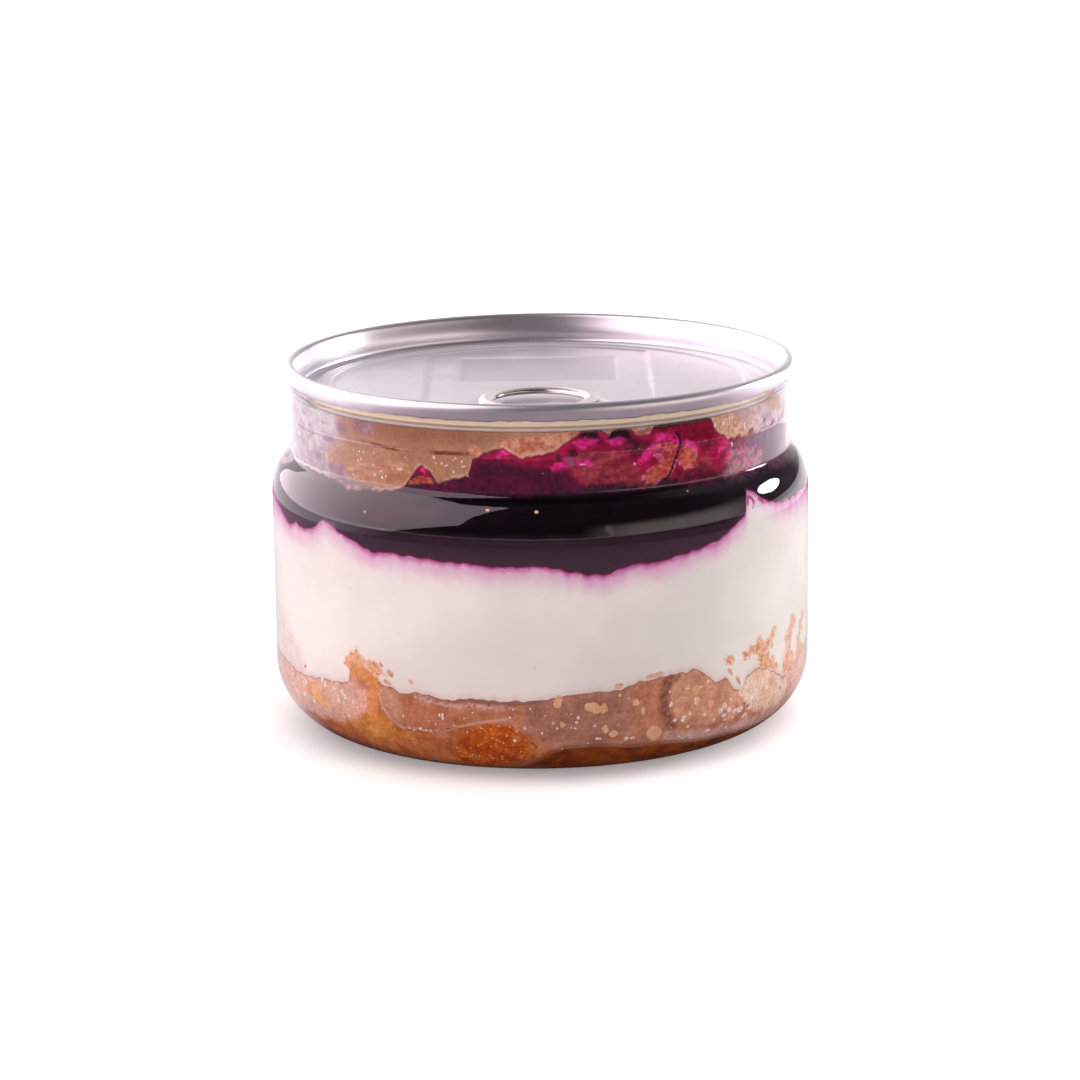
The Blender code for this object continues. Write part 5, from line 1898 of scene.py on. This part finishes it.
def dark_card_finish():
    """What the jar mirrors of the floor: dark in front, ringed, and open towards the back."""
    finish = Finish("dark card")
    place = finish.place()
    flat = finish.stretched((1, 1, 0))
    way = finish.vector_maths("NORMALIZE", flat)
    away = finish.vector_maths("LENGTH", flat, output="Value")
    across, ahead = finish.axis(place, 0), finish.axis(place, 1)
    back = (finish.axis(way, 1) - finish.axis(way, 0).above(0.0, 0.6) * 0.3).above(-0.50, 0.15)
    near = back * away.below(0.145, 0.185)
    tone = away.tones((0.03, 0.02, 0.02), (0.46, 0.32, 0.42), 0.11, 0.17)
    for share, colour in (
        (away.above(0.206, 0.232), (0.06, 0.045, 0.05)),
        (away.above(0.25, 0.30), (0.13, 0.085, 0.11)),
        (back, (0.72, 0.44, 0.62)),
        (near, (0.66, 0.68, 0.72)),
    ):
        tone = finish.blend(share, tone, colour)
    ring = away.above(0.145, 0.175) * away.below(0.222, 0.245)
    strip = (across.size() - ahead * 0.12).below(0.044, 0.060) * ahead.above(0.0, 0.02)
    gone = back * (1.0 - ring) * (1.0 - strip * 0.7) * (1.0 - near * 0.95)
    dark = finish.node("ShaderNodeEmission", None, {"Color": tone, "Strength": 1.0})
    finish.surface(gone, dark, finish.node("ShaderNodeBsdfTransparent"))
    return finish


def light_room(world):
    """A soft pale room, and a darker one with bright bands for what gloss mirrors."""
    room = Finish("soft room", world.node_tree)
    way = room.node("ShaderNodeTexCoord", output="Generated")
    side, ahead, up = (room.axis(way, index) for index in range(3))
    behind = side.tones((1.28, 1.23, 1.24), (0.86, 0.70, 0.77), -0.060, -0.015)
    behind = room.blend(side.above(0.02, 0.055), behind, (0.86, 0.83, 0.80))
    behind = room.blend(side.above(0.25, 0.6), behind, (0.16, 0.10, 0.14))
    band = up.above(0.28, 0.38) * up.below(0.5, 0.68)
    low_front = room.blend(band, (0.012, 0.007, 0.010), (0.034, 0.021, 0.028))
    above = ahead.tones((0.016, 0.009, 0.012), (0.36, 0.30, 0.34), -0.12, 0.25)
    glow = side.above(0.25, 0.7) * up.above(-0.10, 0.02)
    glow = glow * up.below(0.14, 0.36) * ahead.below(-0.2, 0.4)
    mirrored = ahead.tones(low_front, behind, -0.3, 0.55)
    mirrored = up.tones(mirrored, above, 0.4, 0.9)
    mirrored = room.blend(glow, mirrored, (1.7, 1.38, 1.32))
    soft = side.tones((0.75, 0.86, 0.86), (1.35, 1.31, 1.32), -0.8, 0.8)
    soft = ahead.tones((0.92, 0.80, 0.79), soft, -1.0, 0.2)
    light = world.node_tree.nodes["Background"]
    room.feed(light.inputs["Color"], room.blend(room.mirrored(), soft, mirrored))
    room.feed(light.inputs["Strength"], 1.0)


def set_camera(scene):
    """The photo's view: where the camera stands, how it is tilted and its lens."""
    camera = bpy.data.cameras.new("camera")
    camera.lens, camera.sensor_width = 125.97, 36.0
    camera.clip_start, camera.clip_end = 0.01, 40.0
    eye = bpy.data.objects.new("camera", camera)
    tilt = Matrix.Rotation(math.radians(90.0 - CAMERA_DOWN), 4, "X")
    roll = Matrix.Rotation(math.radians(CAMERA_ROLL), 4, "Z")
    eye.matrix_world = Matrix.Translation(CAMERA_PLACE) @ (tilt @ roll)
    scene.collection.objects.link(eye)
    scene.camera = eye
    scene.view_settings.view_transform = "Standard"


class BASBOUSA_OT_stage(bpy.types.Operator):
    """Plain pale floor, soft light and the camera"""

    bl_idname = "basbousa.stage"
    bl_label = "Stage"

    def execute(self, context):
        settings = context.scene.basbousa_stage
        level_sheet("floor", 6.0, -0.0001, floor_finish(settings.floor))
        world = bpy.data.worlds.new("soft room")
        context.scene.world = world
        world.use_nodes = True
        light_room(world)
        card = level_sheet("dark_card", 1.4, 0.0004, dark_card_finish())
        for kind in ("camera", "diffuse", "transmission", "shadow", "volume_scatter"):
            setattr(card, f"visible_{kind}", False)
        aim = (0.0, 0.0, 0.04)
        shine = soft_box(
            "left shine", (-0.558, 0.03, 0.148), aim, (1.78, 0.80), settings.left_shine,
            (1.0, 0.80, 0.89), ((0.184, -0.822, 0.537), (0.566, 0.5375, 0.63)),
        )
        left = soft_box("left box", (-0.5, -0.1, 0.34), aim, (0.9, 0.5), settings.left_box)
        right = soft_box(
            "right box", (0.59, 0.28, 0.2), aim, (0.22, 0.15), settings.right_box, (0.93, 0.96, 1.0)
        )
        over = soft_box(
            "over", (0.0, 0.6, 2.2), (0.0, 0.6, 0.0), (4.0, 4.0), settings.over_box
        )
        right.data.shape = "ELLIPSE"
        shine.visible_diffuse = False
        left.visible_glossy = False
        over.visible_glossy = False
        set_camera(context.scene)
        return {"FINISHED"}


class BASBOUSA_PT_panel(bpy.types.Panel):
    """The sidebar's list of pieces"""

    bl_idname = "BASBOUSA_PT_panel"
    bl_label = "Blueberry basbousa"
    bl_space_type = "VIEW_3D"
    bl_region_type = "UI"
    bl_category = "Basbousa"

    def draw(self, context):
        for name, kind in SETTINGS:
            box = self.layout.box()
            box.label(text=kind.__doc__)
            group = getattr(context.scene, name)
            for key in kind.__annotations__:
                box.prop(group, key)
        for operator in OPERATORS:
            self.layout.operator(operator.bl_idname)


SETTINGS = (
    ("basbousa_jar", JarSettings),
    ("basbousa_lid", LidSettings),
    ("basbousa_cake", CakeSettings),
    ("basbousa_cream", CreamSettings),
    ("basbousa_jam", JamSettings),
    ("basbousa_stage", StageSettings),
)
OPERATORS = (
    BASBOUSA_OT_jar,
    BASBOUSA_OT_lid,
    BASBOUSA_OT_ring_pull,
    BASBOUSA_OT_lower_cake,
    BASBOUSA_OT_cream,
    BASBOUSA_OT_jam,
    BASBOUSA_OT_upper_cake,
    BASBOUSA_OT_berries,
    BASBOUSA_OT_stage,
)


def register():
    for name, kind in SETTINGS:
        bpy.utils.register_class(kind)
        setattr(bpy.types.Scene, name, PointerProperty(type=kind))
    for kind in (*OPERATORS, BASBOUSA_PT_panel):
        bpy.utils.register_class(kind)


def unregister():
    for kind in reversed((*OPERATORS, BASBOUSA_PT_panel)):
        bpy.utils.unregister_class(kind)
    for name, kind in reversed(SETTINGS):
        delattr(bpy.types.Scene, name)
        bpy.utils.unregister_class(kind)


def main():
    register()
    for operator in OPERATORS:
        group, name = operator.bl_idname.split(".")
        getattr(getattr(bpy.ops, group), name)()


if __name__ == "__main__":
    main()
